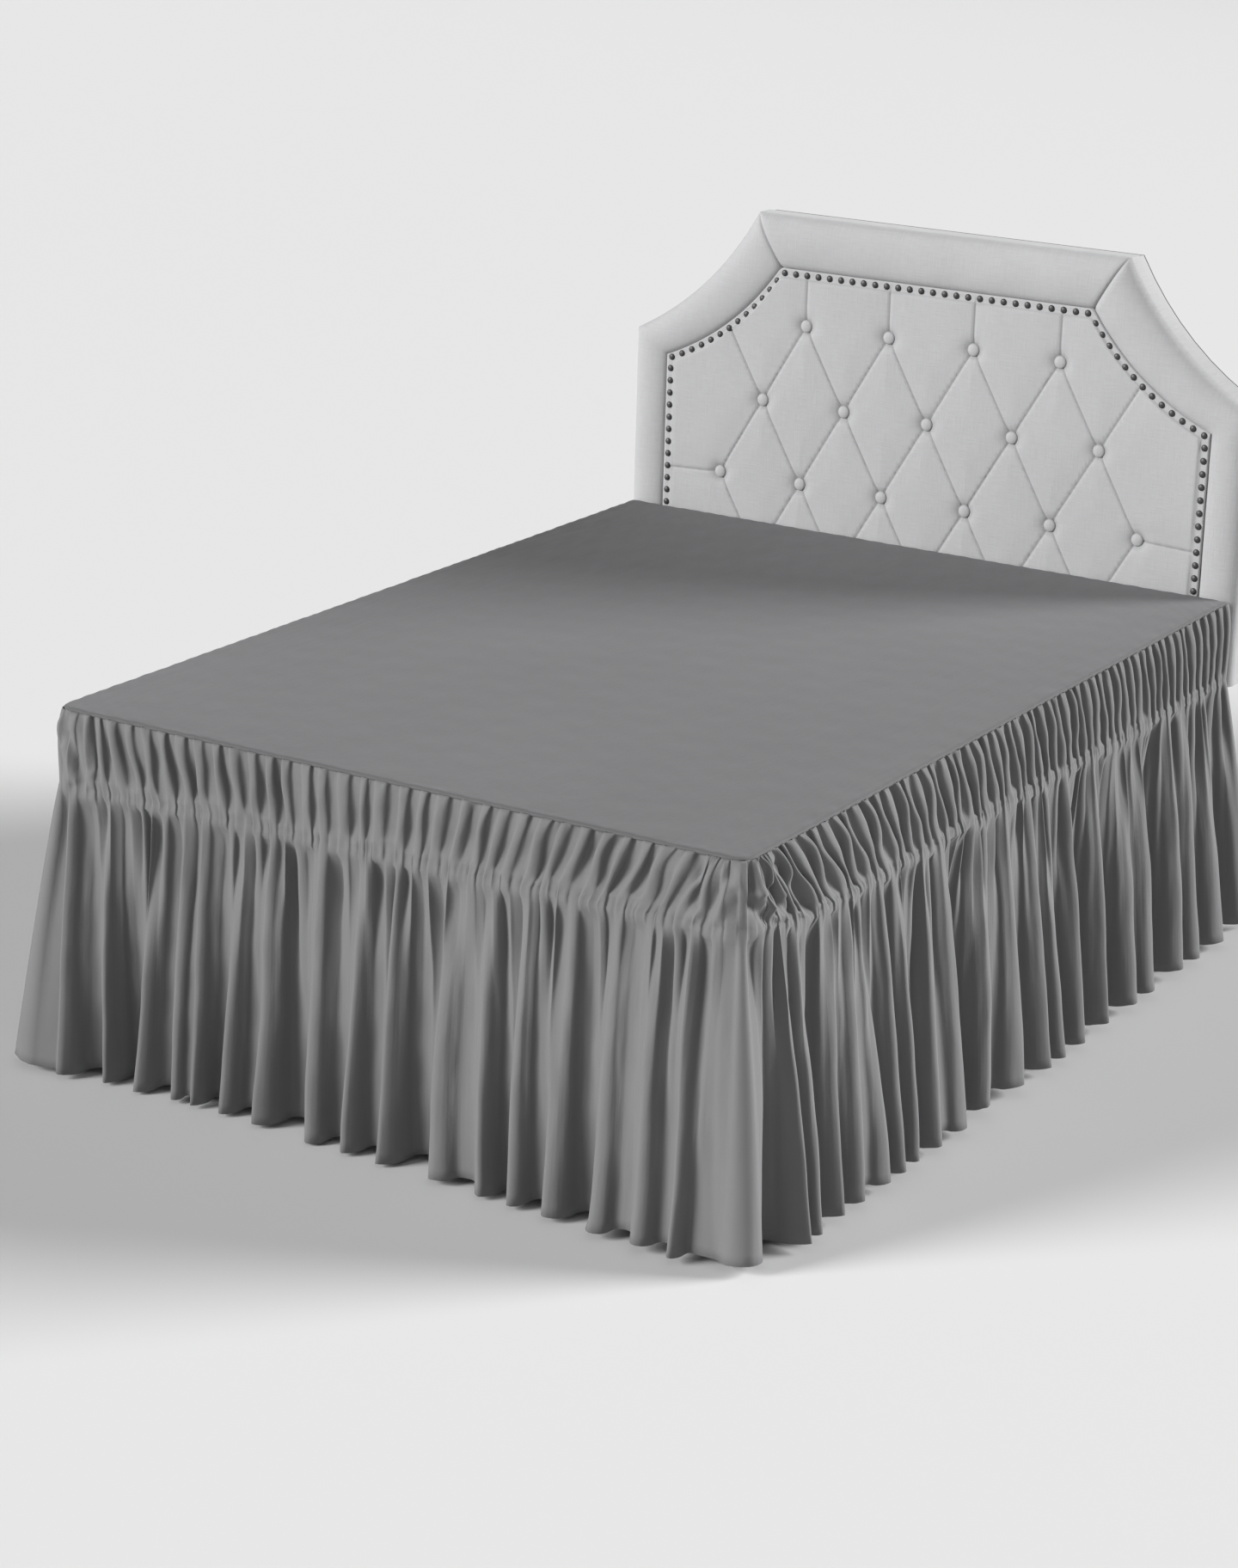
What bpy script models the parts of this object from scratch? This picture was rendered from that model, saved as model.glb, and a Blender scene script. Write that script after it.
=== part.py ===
"""A gathered bed skirt on the bed that it hangs from: box base, steel frame and padded headboard.

Metres, +Z up. The origin is on the floor under the middle of the bed, the foot end is at -Y, and the
headboard is at +Y. Each side of the skirt is worked out in its own coordinates: a place along the side,
a distance out from the deck's edge, and a height.
"""

import math

import bmesh
import bpy
from mathutils import Vector

# Sizes of the bed and of its cloth deck
DECK_WIDTH = 1.372
DECK_LENGTH = 1.905
DECK_TOP = 0.660
HALF_WIDTH = DECK_WIDTH / 2
HALF_LENGTH = DECK_LENGTH / 2
CORNER_RADIUS = 0.030
CLOTH = 0.002
GAP = 0.0003

# The deck panel's rolled edge: how far in from the edge, and how far below the top
EDGE_ROLL = ((0.012, 0.0), (0.004, 0.0015), (0.0, 0.006), (0.0, 0.010))
EDGE_STEP = 0.10
EDGE_WAVE = 0.0012

# The skirt's heights, and the length of cloth from the shirred line to the hem
SEAM_TOP = DECK_TOP - EDGE_ROLL[-1][1] - 0.0007
HEM_CLEARANCE = 0.009

# The gathers: their ridges stand out this far at each level, and their valleys lie this far in
COLUMNS_PER_GATHER = 4
GATHER_UNEVEN = 0.30
GATHER_SHIFT = 0.16
SEAM_RISE, SEAM_DIP = 0.0035, -0.0030
HEADING_RISE, HEADING_DIP = 0.0130, -0.0050
SHIRRED_RISE, SHIRRED_DIP = 0.0110, 0.0040
DROP_GATHER = 0.0100

# The drop: how full the cloth is, how a fold's depth follows from the cloth in it, and its limits
FULLNESS = 1.8
DEPTH_SHARE = 0.47
DEEPEST_VALLEY = -0.014
MIDDLE_PULL = 0.06

# Levels of the drop below the shirred line, with 1 at the hem, and how much of the gathers is left there
DROP_LEVELS = ((0.17, 0.70), (0.55, 0.12), (1.0, 0.0))

# The base
BOX_INSET = 0.012
BOX_BOTTOM = 0.4573
BOX_EDGE = 0.024
RAIL_INSET = 0.036
RAIL_WIDTH = 0.030
RAIL_HEIGHT = 0.040
LEG_SIDE = 0.036
LEG_ROWS = (-0.84, 0.0, 0.84)

# The headboard, as half outlines: side, shoulder, top corner
BOARD_FRONT = HALF_LENGTH + 0.0035
BOARD_BOTTOM = 0.480
BORDER_THICKNESS = 0.064
PANEL_RECESS = 0.010
BACK_THICKNESS = 0.0295
STRUT_THICKNESS = 0.020
STRUT_WIDTH = 0.070
STRUT_X = 0.450
STRUT_TOP = 0.800
OUTER = {"half": 0.700, "shoulder": 1.029, "corner_x": 0.416, "top": 1.304}
INNER = {"half": 0.618, "shoulder": 0.983, "corner_x": 0.352, "top": 1.197}
COVE_STEPS = 8
COVE_SAG = 0.075
BORDER_ROUND = 0.014

# Folds of the drop on the foot side, left to right: where each ridge leaves the shirred line, and where
# it meets the hem, in metres from the middle of the side
FOOT_FOLDS = (
    {"top": -0.628, "hem": -0.632},
    {"top": -0.556, "hem": -0.545},
    {"top": -0.463, "hem": -0.484},
    {"top": -0.411, "hem": -0.405},
    {"top": -0.362, "hem": -0.360},
    {"top": -0.291, "hem": -0.298},
    {"top": -0.206, "hem": -0.226},
    {"top": -0.121, "hem": -0.108},
    {"top": -0.046, "hem": -0.030},
    {"top": 0.046, "hem": 0.040},
    {"top": 0.137, "hem": 0.150},
    {"top": 0.229, "hem": 0.255},
    {"top": 0.285, "hem": 0.310},
    {"top": 0.374, "hem": 0.388},
    {"top": 0.470, "hem": 0.485},
    {"top": 0.540, "hem": 0.572},
    {"top": 0.600, "hem": 0.634},
)

# Folds of the drop on the right side, from the foot corner to the head
RIGHT_FOLDS = (
    {"top": -0.860, "hem": -0.900},
    {"top": -0.800, "hem": -0.852},
    {"top": -0.700, "hem": -0.772},
    {"top": -0.628, "hem": -0.705},
    {"top": -0.560, "hem": -0.610},
    {"top": -0.495, "hem": -0.560},
    {"top": -0.450, "hem": -0.512},
    {"top": -0.360, "hem": -0.430},
    {"top": -0.280, "hem": -0.330},
    {"top": -0.147, "hem": -0.240},
    {"top": -0.028, "hem": -0.105},
    {"top": 0.055, "hem": 0.000},
    {"top": 0.126, "hem": 0.060},
    {"top": 0.207, "hem": 0.145},
    {"top": 0.317, "hem": 0.255},
    {"top": 0.449, "hem": 0.375},
    {"top": 0.529, "hem": 0.460},
    {"top": 0.660, "hem": 0.590},
    {"top": 0.722, "hem": 0.672},
    {"top": 0.833, "hem": 0.790},
)

# The left side follows the right side's folds from head to foot, each moved by this much at most
LEFT_SHIFT = 0.014

# Where each side runs, what it carries, and how the photograph's shape changes along it. "shirred" is the
# height of the shirred line, "flare" is how far out the hem's ridges stand, and "lean" is how far a gather
# moves along the side between the seam and the shirred line: (place along the side, value)
FOOT = {
    "name": "skirt_foot",
    "along": (1.0, 0.0, 0.0),
    "outward": (0.0, -1.0, 0.0),
    "reach": HALF_LENGTH,
    "corner_start": True,
    "corner_end": True,
    "half": HALF_WIDTH,
    "gathers": 38,
    "salt": 1.0,
    "folds": FOOT_FOLDS,
    "shirred": ((-0.67, 0.520), (-0.45, 0.529), (0.0, 0.533), (0.5, 0.527), (0.67, 0.513)),
    "flare": ((-0.67, 0.100), (-0.58, 0.062), (-0.3, 0.052), (0.1, 0.072), (0.45, 0.094), (0.67, 0.120)),
    "lean": ((-0.60, 0.0), (-0.50, 0.025), (-0.25, 0.015), (0.0, 0.0), (0.25, -0.030), (0.54, -0.034),
             (0.64, 0.0)),
}
RIGHT = {
    "name": "skirt_right",
    "along": (0.0, 1.0, 0.0),
    "outward": (1.0, 0.0, 0.0),
    "reach": HALF_WIDTH,
    "corner_start": True,
    "corner_end": False,
    "half": HALF_LENGTH,
    "gathers": 47,
    "salt": 2.0,
    "folds": RIGHT_FOLDS,
    "shirred": ((-0.94, 0.513), (-0.80, 0.506), (0.0, 0.506), (0.95, 0.500)),
    "flare": ((-0.94, 0.120), (-0.80, 0.108), (0.0, 0.112), (0.6, 0.116), (0.95, 0.108)),
    "lean": ((-0.92, 0.0), (-0.80, 0.070), (-0.40, 0.060), (0.20, 0.048), (0.80, 0.036), (0.95, 0.0)),
}
LEFT = {
    "name": "skirt_left",
    "along": (0.0, -1.0, 0.0),
    "outward": (-1.0, 0.0, 0.0),
    "reach": HALF_WIDTH,
    "corner_start": False,
    "corner_end": True,
    "half": HALF_LENGTH,
    "gathers": 47,
    "salt": 3.0,
    "folds": None,
    "shirred": ((-0.95, 0.500), (0.0, 0.507), (0.80, 0.510), (0.94, 0.520)),
    "flare": ((-0.95, 0.106), (-0.50, 0.114), (0.1, 0.110), (0.80, 0.104), (0.94, 0.100)),
    "lean": ((-0.95, 0.0), (-0.80, -0.034), (0.0, -0.046), (0.60, -0.052), (0.85, 0.0)),
}

# Finishes: colour, roughness, metallic
SKIRT_CLOTH = {"name": "skirt_cloth", "colour": (0.185, 0.185, 0.187), "roughness": 0.85, "metallic": 0.0}
BASE_TICKING = {"name": "base_ticking", "colour": (0.62, 0.62, 0.60), "roughness": 0.85, "metallic": 0.0}
HEADBOARD_LINEN = {"name": "headboard_linen", "colour": (0.56, 0.56, 0.56), "roughness": 0.9, "metallic": 0.0}
BACK_BOARD = {"name": "back_board", "colour": (0.05, 0.05, 0.05), "roughness": 0.9, "metallic": 0.0}
FRAME_STEEL = {"name": "frame_steel", "colour": (0.03, 0.03, 0.03), "roughness": 0.45, "metallic": 0.6}


def clear_scene():
    """Removes every object that the file opened with."""
    for thing in list(bpy.data.objects):
        bpy.data.objects.remove(thing, do_unlink=True)


def material_of(finish):
    """Returns the finish's material, made on its first use."""
    found = bpy.data.materials.get(finish["name"])
    if found:
        return found
    made = bpy.data.materials.new(finish["name"])
    made.use_nodes = True
    shader = made.node_tree.nodes["Principled BSDF"]
    shader.inputs["Base Color"].default_value = (*finish["colour"], 1.0)
    shader.inputs["Roughness"].default_value = finish["roughness"]
    shader.inputs["Metallic"].default_value = finish["metallic"]
    return made


def add_object(name, data, finish, collection, parent=None, location=(0.0, 0.0, 0.0)):
    """Puts the mesh or curve in the scene as a named object with its finish."""
    piece = bpy.data.objects.new(name, data)
    data.materials.append(material_of(finish))
    collection.objects.link(piece)
    piece.parent = parent
    piece.location = location
    return piece


def uneven(number, salt):
    """Returns a repeatable value from -1 to 1 for one gather or fold."""
    return (math.sin(12.9898 * number + 78.233 * salt) * 4375.85453) % 2.0 - 1.0


def straight(table, place):
    """Reads a table of (place, value) rows, straight between its rows and level past its ends."""
    if place <= table[0][0]:
        return table[0][1]
    for (start, first), (end, last) in zip(table, table[1:]):
        if place <= end:
            return first + (last - first) * (place - start) / (end - start)
    return table[-1][1]


def rounded(table, place):
    """Reads a table of (place, value) rows as a wave with its tops and bottoms on the rows."""
    if place <= table[0][0]:
        return table[0][1]
    for (start, first), (end, last) in zip(table, table[1:]):
        if place <= end:
            share = (1.0 - math.cos(math.pi * (place - start) / (end - start))) / 2.0
            return first + (last - first) * share
    return table[-1][1]


def left_folds():
    """Returns the left side's folds: the right side's from head to foot, each moved a little."""
    folds = []
    for number, fold in enumerate(reversed(RIGHT_FOLDS)):
        moved = LEFT_SHIFT * uneven(number, LEFT["salt"])
        folds.append({"top": -fold["top"] + moved, "hem": -fold["hem"] + 0.5 * moved})
    return tuple(folds)


def ends_of(side):
    """Returns where the side's cloth starts and ends, with half of a round corner at a corner end."""
    half_corner = CORNER_RADIUS * math.pi / 4.0
    round_end = side["half"] - CORNER_RADIUS + half_corner
    start = -round_end if side["corner_start"] else -side["half"]
    end = round_end if side["corner_end"] else side["half"]
    return start, end


def gather_tables(side):
    """Returns the gathers' tables over the gather number: places along the side, and wave heights.

    A ridge is at each whole number and a valley half-way between, with a height of 1 or -1, more or less.
    """
    start, end = ends_of(side)
    steps = 2 * side["gathers"]
    pitch = (end - start) / side["gathers"]
    places = []
    waves = []
    for step in range(steps + 1):
        inside = 0 < step < steps
        shift = GATHER_SHIFT * pitch * uneven(step, side["salt"]) if inside else 0.0
        swell = GATHER_UNEVEN * uneven(step, side["salt"] + 0.5) if inside else 0.0
        places.append((step / 2.0, start + step / 2.0 * pitch + shift))
        waves.append((step / 2.0, (1.0 + swell) * (1.0 if step % 2 == 0 else -1.0)))
    return places, waves


def fold_tables(side):
    """Returns the folds' tables over the gather number: hem places, and hem distances from the deck's edge.

    Each fold starts from the gather nearest its top place. Its depth at the hem follows from the cloth
    that lies between its two ridges, so that the cloth neither stretches nor shrinks.
    """
    start, end = ends_of(side)
    pitch = (end - start) / side["gathers"]
    folds = side["folds"] or left_folds()
    ridges = [(0.0, start)]
    for fold in folds:
        number = float(round((fold["top"] - start) / pitch))
        if ridges[-1][0] < number < side["gathers"]:
            ridges.append((number, fold["hem"]))
    ridges.append((float(side["gathers"]), end))
    places = [ridges[0]]
    distances = [(0.0, straight(side["flare"], start))]
    for (first, hem), (last, next_hem) in zip(ridges, ridges[1:]):
        middle = (hem + next_hem) / 2.0
        cloth = (last - first) * pitch * FULLNESS
        depth = DEPTH_SHARE * math.sqrt(max(cloth**2 - (next_hem - hem) ** 2, 0.0))
        outer = straight(side["flare"], middle)
        valley = max(outer - depth, DEEPEST_VALLEY)
        places.append(((first + last) / 2.0, middle))
        places.append((last, next_hem))
        distances.append(((first + last) / 2.0, valley))
        distances.append((last, straight(side["flare"], next_hem)))
    return places, distances


def around_corner(side, place, out):
    """Bends the cloth round a corner: returns the place along the side and the distance out from it."""
    straight_half = side["half"] - CORNER_RADIUS
    at_corner = side["corner_end"] if place > 0.0 else side["corner_start"]
    if not at_corner or abs(place) <= straight_half:
        return place, out
    angle = (abs(place) - straight_half) / CORNER_RADIUS
    reach = CORNER_RADIUS + out
    along = straight_half + reach * math.sin(angle)
    return math.copysign(along, place), reach * math.cos(angle) - CORNER_RADIUS


def gathered(wave, rise, dip):
    """Returns a gather's distance out: 1 stands at the rise, and -1 lies at the dip."""
    return (rise + dip) / 2.0 + wave * (rise - dip) / 2.0


def column_of(side, number, tables):
    """Returns the cloth's points from seam to hem at one gather number, as (place, out, height)."""
    gather_places, gather_waves, hem_places, hem_distances = tables
    wave = rounded(gather_waves, number)
    shirred_place = straight(gather_places, number)
    seam_place = shirred_place - straight(side["lean"], shirred_place)
    shirred_height = straight(side["shirred"], shirred_place)
    hem_place = straight(hem_places, number)
    hem_out = rounded(hem_distances, number)
    seam_out = gathered(wave, SEAM_RISE, SEAM_DIP)
    heading_out = gathered(wave, HEADING_RISE, HEADING_DIP)
    shirred_out = gathered(wave, SHIRRED_RISE, SHIRRED_DIP)
    points = [
        (seam_place, seam_out, SEAM_TOP),
        ((seam_place + shirred_place) / 2.0, heading_out, (SEAM_TOP + shirred_height) / 2.0),
        (shirred_place, shirred_out, shirred_height),
    ]
    sideways = hem_place - shirred_place
    cut = shirred_height - HEM_CLEARANCE
    hang = math.sqrt(cut**2 - (hem_out - shirred_out) ** 2 - sideways**2)
    for level, gather_share in DROP_LEVELS:
        out = shirred_out + (hem_out - shirred_out) * level**0.9
        out += gather_share * DROP_GATHER * wave
        ease = level * (1.0 - MIDDLE_PULL * (1.0 - level))
        points.append((shirred_place + sideways * ease, out, shirred_height - hang * level))
    return points


def thickened(panel):
    """Gives the sheet its thickness, inwards from the outer face, and returns the closed mesh."""
    thickness = panel.modifiers.new("cloth", "SOLIDIFY")
    thickness.thickness = CLOTH
    thickness.offset = -1.0
    thickness.use_even_offset = True
    graph = bpy.context.evaluated_depsgraph_get()
    mesh = bpy.data.meshes.new_from_object(panel.evaluated_get(graph))
    panel.modifiers.clear()
    return mesh


def mitre(mesh, side, along, outward):
    """Draws the cloth back from the diagonal at each corner, so that two panels meet there without touching."""
    half_gap = GAP * math.sqrt(2.0)
    for vertex in mesh.vertices:
        place = vertex.co.dot(along)
        out = vertex.co.dot(outward) - side["reach"]
        past = abs(place) - side["half"] - out + half_gap
        at_corner = side["corner_end"] if place > 0.0 else side["corner_start"]
        if at_corner and past > 0.0:
            vertex.co -= along * math.copysign(past, place)


def skirt_panel(side, collection, parent):
    """Builds one side of the skirt as a sheet of cloth with its gathers, shirred line and folds."""
    along, outward = Vector(side["along"]), Vector(side["outward"])
    tables = (*gather_tables(side), *fold_tables(side))
    columns = side["gathers"] * COLUMNS_PER_GATHER
    rows = 2 + len(DROP_LEVELS)
    sheet = bmesh.new()
    bmesh.ops.create_grid(sheet, x_segments=columns, y_segments=rows, size=1.0)
    for vertex in sheet.verts:
        number = (vertex.co.x + 1.0) / 2.0 * side["gathers"]
        row = round((1.0 - vertex.co.y) / 2.0 * rows)
        place, out, height = column_of(side, number, tables)[row]
        place, out = around_corner(side, place, out)
        vertex.co = along * place + outward * (side["reach"] + out) + Vector((0.0, 0.0, height))
    mesh = bpy.data.meshes.new(side["name"])
    sheet.to_mesh(mesh)
    sheet.free()
    panel = add_object(side["name"], mesh, SKIRT_CLOTH, collection, parent)
    panel.data = thickened(panel)
    mitre(panel.data, side, along, outward)
    panel.data.shade_smooth()
    return panel


def deck_outline(inset):
    """Returns the deck's outline at an inset, as points with round foot corners and square head corners."""
    half_x, half_y, radius = HALF_WIDTH - inset, HALF_LENGTH - inset, CORNER_RADIUS - inset
    centre_x, foot_y = HALF_WIDTH - CORNER_RADIUS, -(HALF_LENGTH - CORNER_RADIUS)
    points = []
    steps = math.ceil(2.0 * centre_x / EDGE_STEP)
    for step in range(steps):
        points.append((-centre_x + 2.0 * centre_x * step / steps, foot_y - radius))
    for step in range(5):
        angle = math.pi / 2.0 * step / 4.0
        points.append((centre_x + radius * math.sin(angle), foot_y - radius * math.cos(angle)))
    steps = math.ceil((HALF_LENGTH - foot_y) / EDGE_STEP)
    for step in range(1, steps):
        points.append((half_x, foot_y + (half_y - foot_y) * step / steps))
    head_steps = math.ceil(2.0 * half_x / EDGE_STEP)
    for step in range(head_steps):
        points.append((half_x - 2.0 * half_x * step / head_steps, half_y))
    for step in range(steps):
        points.append((-half_x, half_y + (foot_y - half_y) * step / steps))
    for step in range(4):
        angle = math.pi / 2.0 * (1.0 - step / 4.0)
        points.append((-centre_x - radius * math.sin(angle), foot_y - radius * math.cos(angle)))
    return points


def deck_panel(collection, parent):
    """Builds the deck: a flat sheet whose edge rolls down to the seam with the skirt."""
    sheet = bmesh.new()
    rings = []
    for inset, below in EDGE_ROLL:
        ring = []
        for number, (x, y) in enumerate(deck_outline(inset)):
            wave = EDGE_WAVE * uneven(number, 7.0) if 0.0 < below < EDGE_ROLL[-1][1] else 0.0
            ring.append(sheet.verts.new((x, y, DECK_TOP - below + wave)))
        rings.append(ring)
    sheet.faces.new(rings[0])
    for inner, outer in zip(rings, rings[1:]):
        for number in range(len(inner)):
            after = (number + 1) % len(inner)
            sheet.faces.new((inner[number], outer[number], outer[after], inner[after]))
    sheet.normal_update()
    mesh = bpy.data.meshes.new("deck_panel")
    sheet.to_mesh(mesh)
    sheet.free()
    panel = add_object("deck_panel", mesh, SKIRT_CLOTH, collection, parent)
    thickness = panel.modifiers.new("cloth", "SOLIDIFY")
    thickness.thickness = CLOTH
    thickness.offset = -1.0
    thickness.use_even_offset = True
    return panel


def block(name, size, centre, finish, collection, parent, edge=0.0):
    """Adds a box of the given size, with round edges where an edge radius is given."""
    shape = bmesh.new()
    bmesh.ops.create_cube(shape, size=1.0)
    bmesh.ops.scale(shape, vec=size, verts=shape.verts)
    mesh = bpy.data.meshes.new(name)
    shape.to_mesh(mesh)
    shape.free()
    piece = add_object(name, mesh, finish, collection, parent, centre)
    if edge > 0.0:
        bevel = piece.modifiers.new("edges", "BEVEL")
        bevel.width = edge
        bevel.segments = 3
    return piece


def base(collection, parent):
    """Builds the box base and the steel frame with its nine legs."""
    box_top = DECK_TOP - CLOTH - GAP
    box_size = (DECK_WIDTH - 2.0 * BOX_INSET, DECK_LENGTH - 2.0 * BOX_INSET, box_top - BOX_BOTTOM)
    box_centre = (0.0, 0.0, (box_top + BOX_BOTTOM) / 2.0)
    block("box_base", box_size, box_centre, BASE_TICKING, collection, parent, BOX_EDGE)

    rail_z = BOX_BOTTOM - GAP - RAIL_HEIGHT / 2.0
    side_x = HALF_WIDTH - RAIL_INSET - RAIL_WIDTH / 2.0
    end_y = HALF_LENGTH - RAIL_INSET - RAIL_WIDTH / 2.0
    side_length = 2.0 * (end_y - RAIL_WIDTH / 2.0 - GAP)
    for name, x in (("rail_left", -side_x), ("rail_middle", 0.0), ("rail_right", side_x)):
        size = (RAIL_WIDTH, side_length, RAIL_HEIGHT)
        block(name, size, (x, 0.0, rail_z), FRAME_STEEL, collection, parent)
    for name, y in (("rail_foot", -end_y), ("rail_head", end_y)):
        size = (2.0 * side_x + RAIL_WIDTH, RAIL_WIDTH, RAIL_HEIGHT)
        block(name, size, (0.0, y, rail_z), FRAME_STEEL, collection, parent)

    leg_top = rail_z - RAIL_HEIGHT / 2.0 - GAP
    for column, x in (("left", -side_x), ("middle", 0.0), ("right", side_x)):
        for row, y in enumerate(LEG_ROWS, start=1):
            size = (LEG_SIDE, LEG_SIDE, leg_top)
            centre = (x, y, leg_top / 2.0)
            block(f"leg_{column}_{row}", size, centre, FRAME_STEEL, collection, parent)


def cove(start, end):
    """Returns the hollow curve from a shoulder to a top corner, without its first point."""
    start, end = Vector(start), Vector(end)
    chord = end - start
    inward = Vector((-abs(chord.y), -abs(chord.x))).normalized()
    points = []
    for step in range(1, COVE_STEPS + 1):
        share = step / COVE_STEPS
        sag = 4.0 * COVE_SAG * chord.length * share * (1.0 - share)
        points.append(tuple(start + chord * share + inward * sag))
    return points


def board_line(shape, bottom, inset=0.0):
    """Returns a headboard line from bottom right over the top to bottom left, as (x, z) points."""
    half = shape["half"] - inset
    right = [(half, bottom), (half, shape["shoulder"])]
    corner = (shape["corner_x"], shape["top"] - inset)
    right += cove(right[-1], corner)
    left = [(-x, z) for x, z in reversed(right)]
    return right + left


def flat_piece(name, outline, front, thickness, round_edge, finish, collection, parent):
    """Adds a flat piece that stands upright: its outline is in X and Z, and its front faces -Y."""
    curve = bpy.data.curves.new(name, "CURVE")
    curve.dimensions = "2D"
    curve.fill_mode = "BOTH"
    curve.extrude = thickness / 2.0 - round_edge
    curve.bevel_depth = round_edge
    curve.bevel_resolution = 1
    curve.offset = -round_edge
    spline = curve.splines.new("POLY")
    spline.points.add(len(outline) - 1)
    for point, (x, z) in zip(spline.points, outline):
        point.co = (x, z, 0.0, 1.0)
    spline.use_cyclic_u = True
    piece = add_object(name, curve, finish, collection, parent)
    piece.rotation_euler = (math.pi / 2.0, 0.0, 0.0)
    piece.location = (0.0, front + thickness / 2.0, 0.0)
    return piece


def headboard(collection, parent):
    """Builds the headboard: padded border, panel, back board, two struts and their plates."""
    outer = board_line(OUTER, BOARD_BOTTOM)
    inner = board_line(INNER, BOARD_BOTTOM)
    border = outer + list(reversed(inner))
    flat_piece("headboard_border", border, BOARD_FRONT, BORDER_THICKNESS, BORDER_ROUND,
               HEADBOARD_LINEN, collection, parent)
    panel = board_line(INNER, BOARD_BOTTOM, inset=2.0 * GAP)
    panel_front = BOARD_FRONT + PANEL_RECESS
    flat_piece("headboard_panel", panel, panel_front, BORDER_THICKNESS - PANEL_RECESS, 0.0,
               HEADBOARD_LINEN, collection, parent)
    back_front = BOARD_FRONT + BORDER_THICKNESS + GAP
    back = board_line(OUTER, BOARD_BOTTOM, inset=0.004)
    flat_piece("headboard_back", back, back_front, BACK_THICKNESS, 0.0, BACK_BOARD, collection, parent)

    strut_front = back_front + BACK_THICKNESS + GAP
    rail_back = HALF_LENGTH - RAIL_INSET
    plate_length = strut_front - rail_back - 2.0 * GAP
    plate_z = BOX_BOTTOM - GAP - RAIL_HEIGHT / 2.0
    for name, x in (("left", -STRUT_X), ("right", STRUT_X)):
        size = (STRUT_WIDTH, STRUT_THICKNESS, STRUT_TOP)
        centre = (x, strut_front + STRUT_THICKNESS / 2.0, STRUT_TOP / 2.0)
        block(f"headboard_strut_{name}", size, centre, BACK_BOARD, collection, parent)
        size = (STRUT_WIDTH * 0.6, plate_length, RAIL_HEIGHT * 0.7)
        centre = (x, rail_back + GAP + plate_length / 2.0, plate_z)
        block(f"headboard_plate_{name}", size, centre, FRAME_STEEL, collection, parent)


def main():
    """Builds the bed skirt and its bed."""
    clear_scene()
    collection = bpy.data.collections.new("bed_skirt")
    bpy.context.scene.collection.children.link(collection)
    root = bpy.data.objects.new("bed_skirt_root", None)
    collection.objects.link(root)
    for side in (LEFT, FOOT, RIGHT):
        skirt_panel(side, collection, root)
    deck_panel(collection, root)
    base(collection, root)
    headboard(collection, root)


if __name__ == "__main__":
    main()
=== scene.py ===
"""Looks of a gathered bed skirt on its bed: cloth deck, three gathered panels, base and tufted headboard."""

import logging
import math
from dataclasses import dataclass
from enum import Enum

import bmesh
import bpy
import numpy as np
from mathutils import Matrix, Vector


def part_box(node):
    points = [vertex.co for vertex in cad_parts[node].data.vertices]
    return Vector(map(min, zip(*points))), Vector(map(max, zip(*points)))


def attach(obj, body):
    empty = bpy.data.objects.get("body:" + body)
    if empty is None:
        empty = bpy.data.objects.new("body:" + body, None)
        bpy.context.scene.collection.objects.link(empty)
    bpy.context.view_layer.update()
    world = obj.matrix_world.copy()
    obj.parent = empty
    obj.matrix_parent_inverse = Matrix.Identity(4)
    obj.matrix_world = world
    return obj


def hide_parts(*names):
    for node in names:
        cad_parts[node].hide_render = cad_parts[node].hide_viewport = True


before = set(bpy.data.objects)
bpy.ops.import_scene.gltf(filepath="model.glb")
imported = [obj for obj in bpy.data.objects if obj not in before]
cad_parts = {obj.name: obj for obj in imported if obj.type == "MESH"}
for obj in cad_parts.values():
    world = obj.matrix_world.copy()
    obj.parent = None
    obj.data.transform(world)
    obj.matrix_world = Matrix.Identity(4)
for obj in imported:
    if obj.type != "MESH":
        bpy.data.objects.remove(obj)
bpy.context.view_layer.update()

LOG = logging.getLogger("bed_skirt")

BODY = "root"
GAP = 0.0003
# The mesh attribute that carries painted shade on the headboard: creases, rings about the buttons and the welt.
PAINTED_SHADE_ATTRIBUTE = "crease"
MIDDLE = 0.5
Table = tuple[tuple[float, float], ...]
Point = tuple[float, float, float]


class Slot(Enum):
    """The names of the record's material slots; the script doesn't give them to any piece."""

    SKIRT_CLOTH = "skirt_cloth"
    HEADBOARD_LINEN = "headboard_linen"
    NAIL_METAL = "nail_metal"


class Held(Enum):
    """How a sheet of cloth is held."""

    GATHERED = "gathered"
    LAID = "laid"


class Draw(float, Enum):
    """Added to a side's salt, these tell its uneven values from each other."""

    DEEPNESS = 0.5
    CREST = 0.7
    LINE = 1.0
    DROP_CREST = 1.7
    LASTING = 2.5
    SWAY_ALONG = 3.0
    DROP_DEEPNESS = 3.5
    FOLD_CREST = 4.0
    SWAY_OUT = 5.0
    FULLEST = 6.0
    BAND = 7.0
    DROP_BAND = 7.5
    HEADING_WRINKLES = 8.0
    DROP_WRINKLES = 9.0


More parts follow.
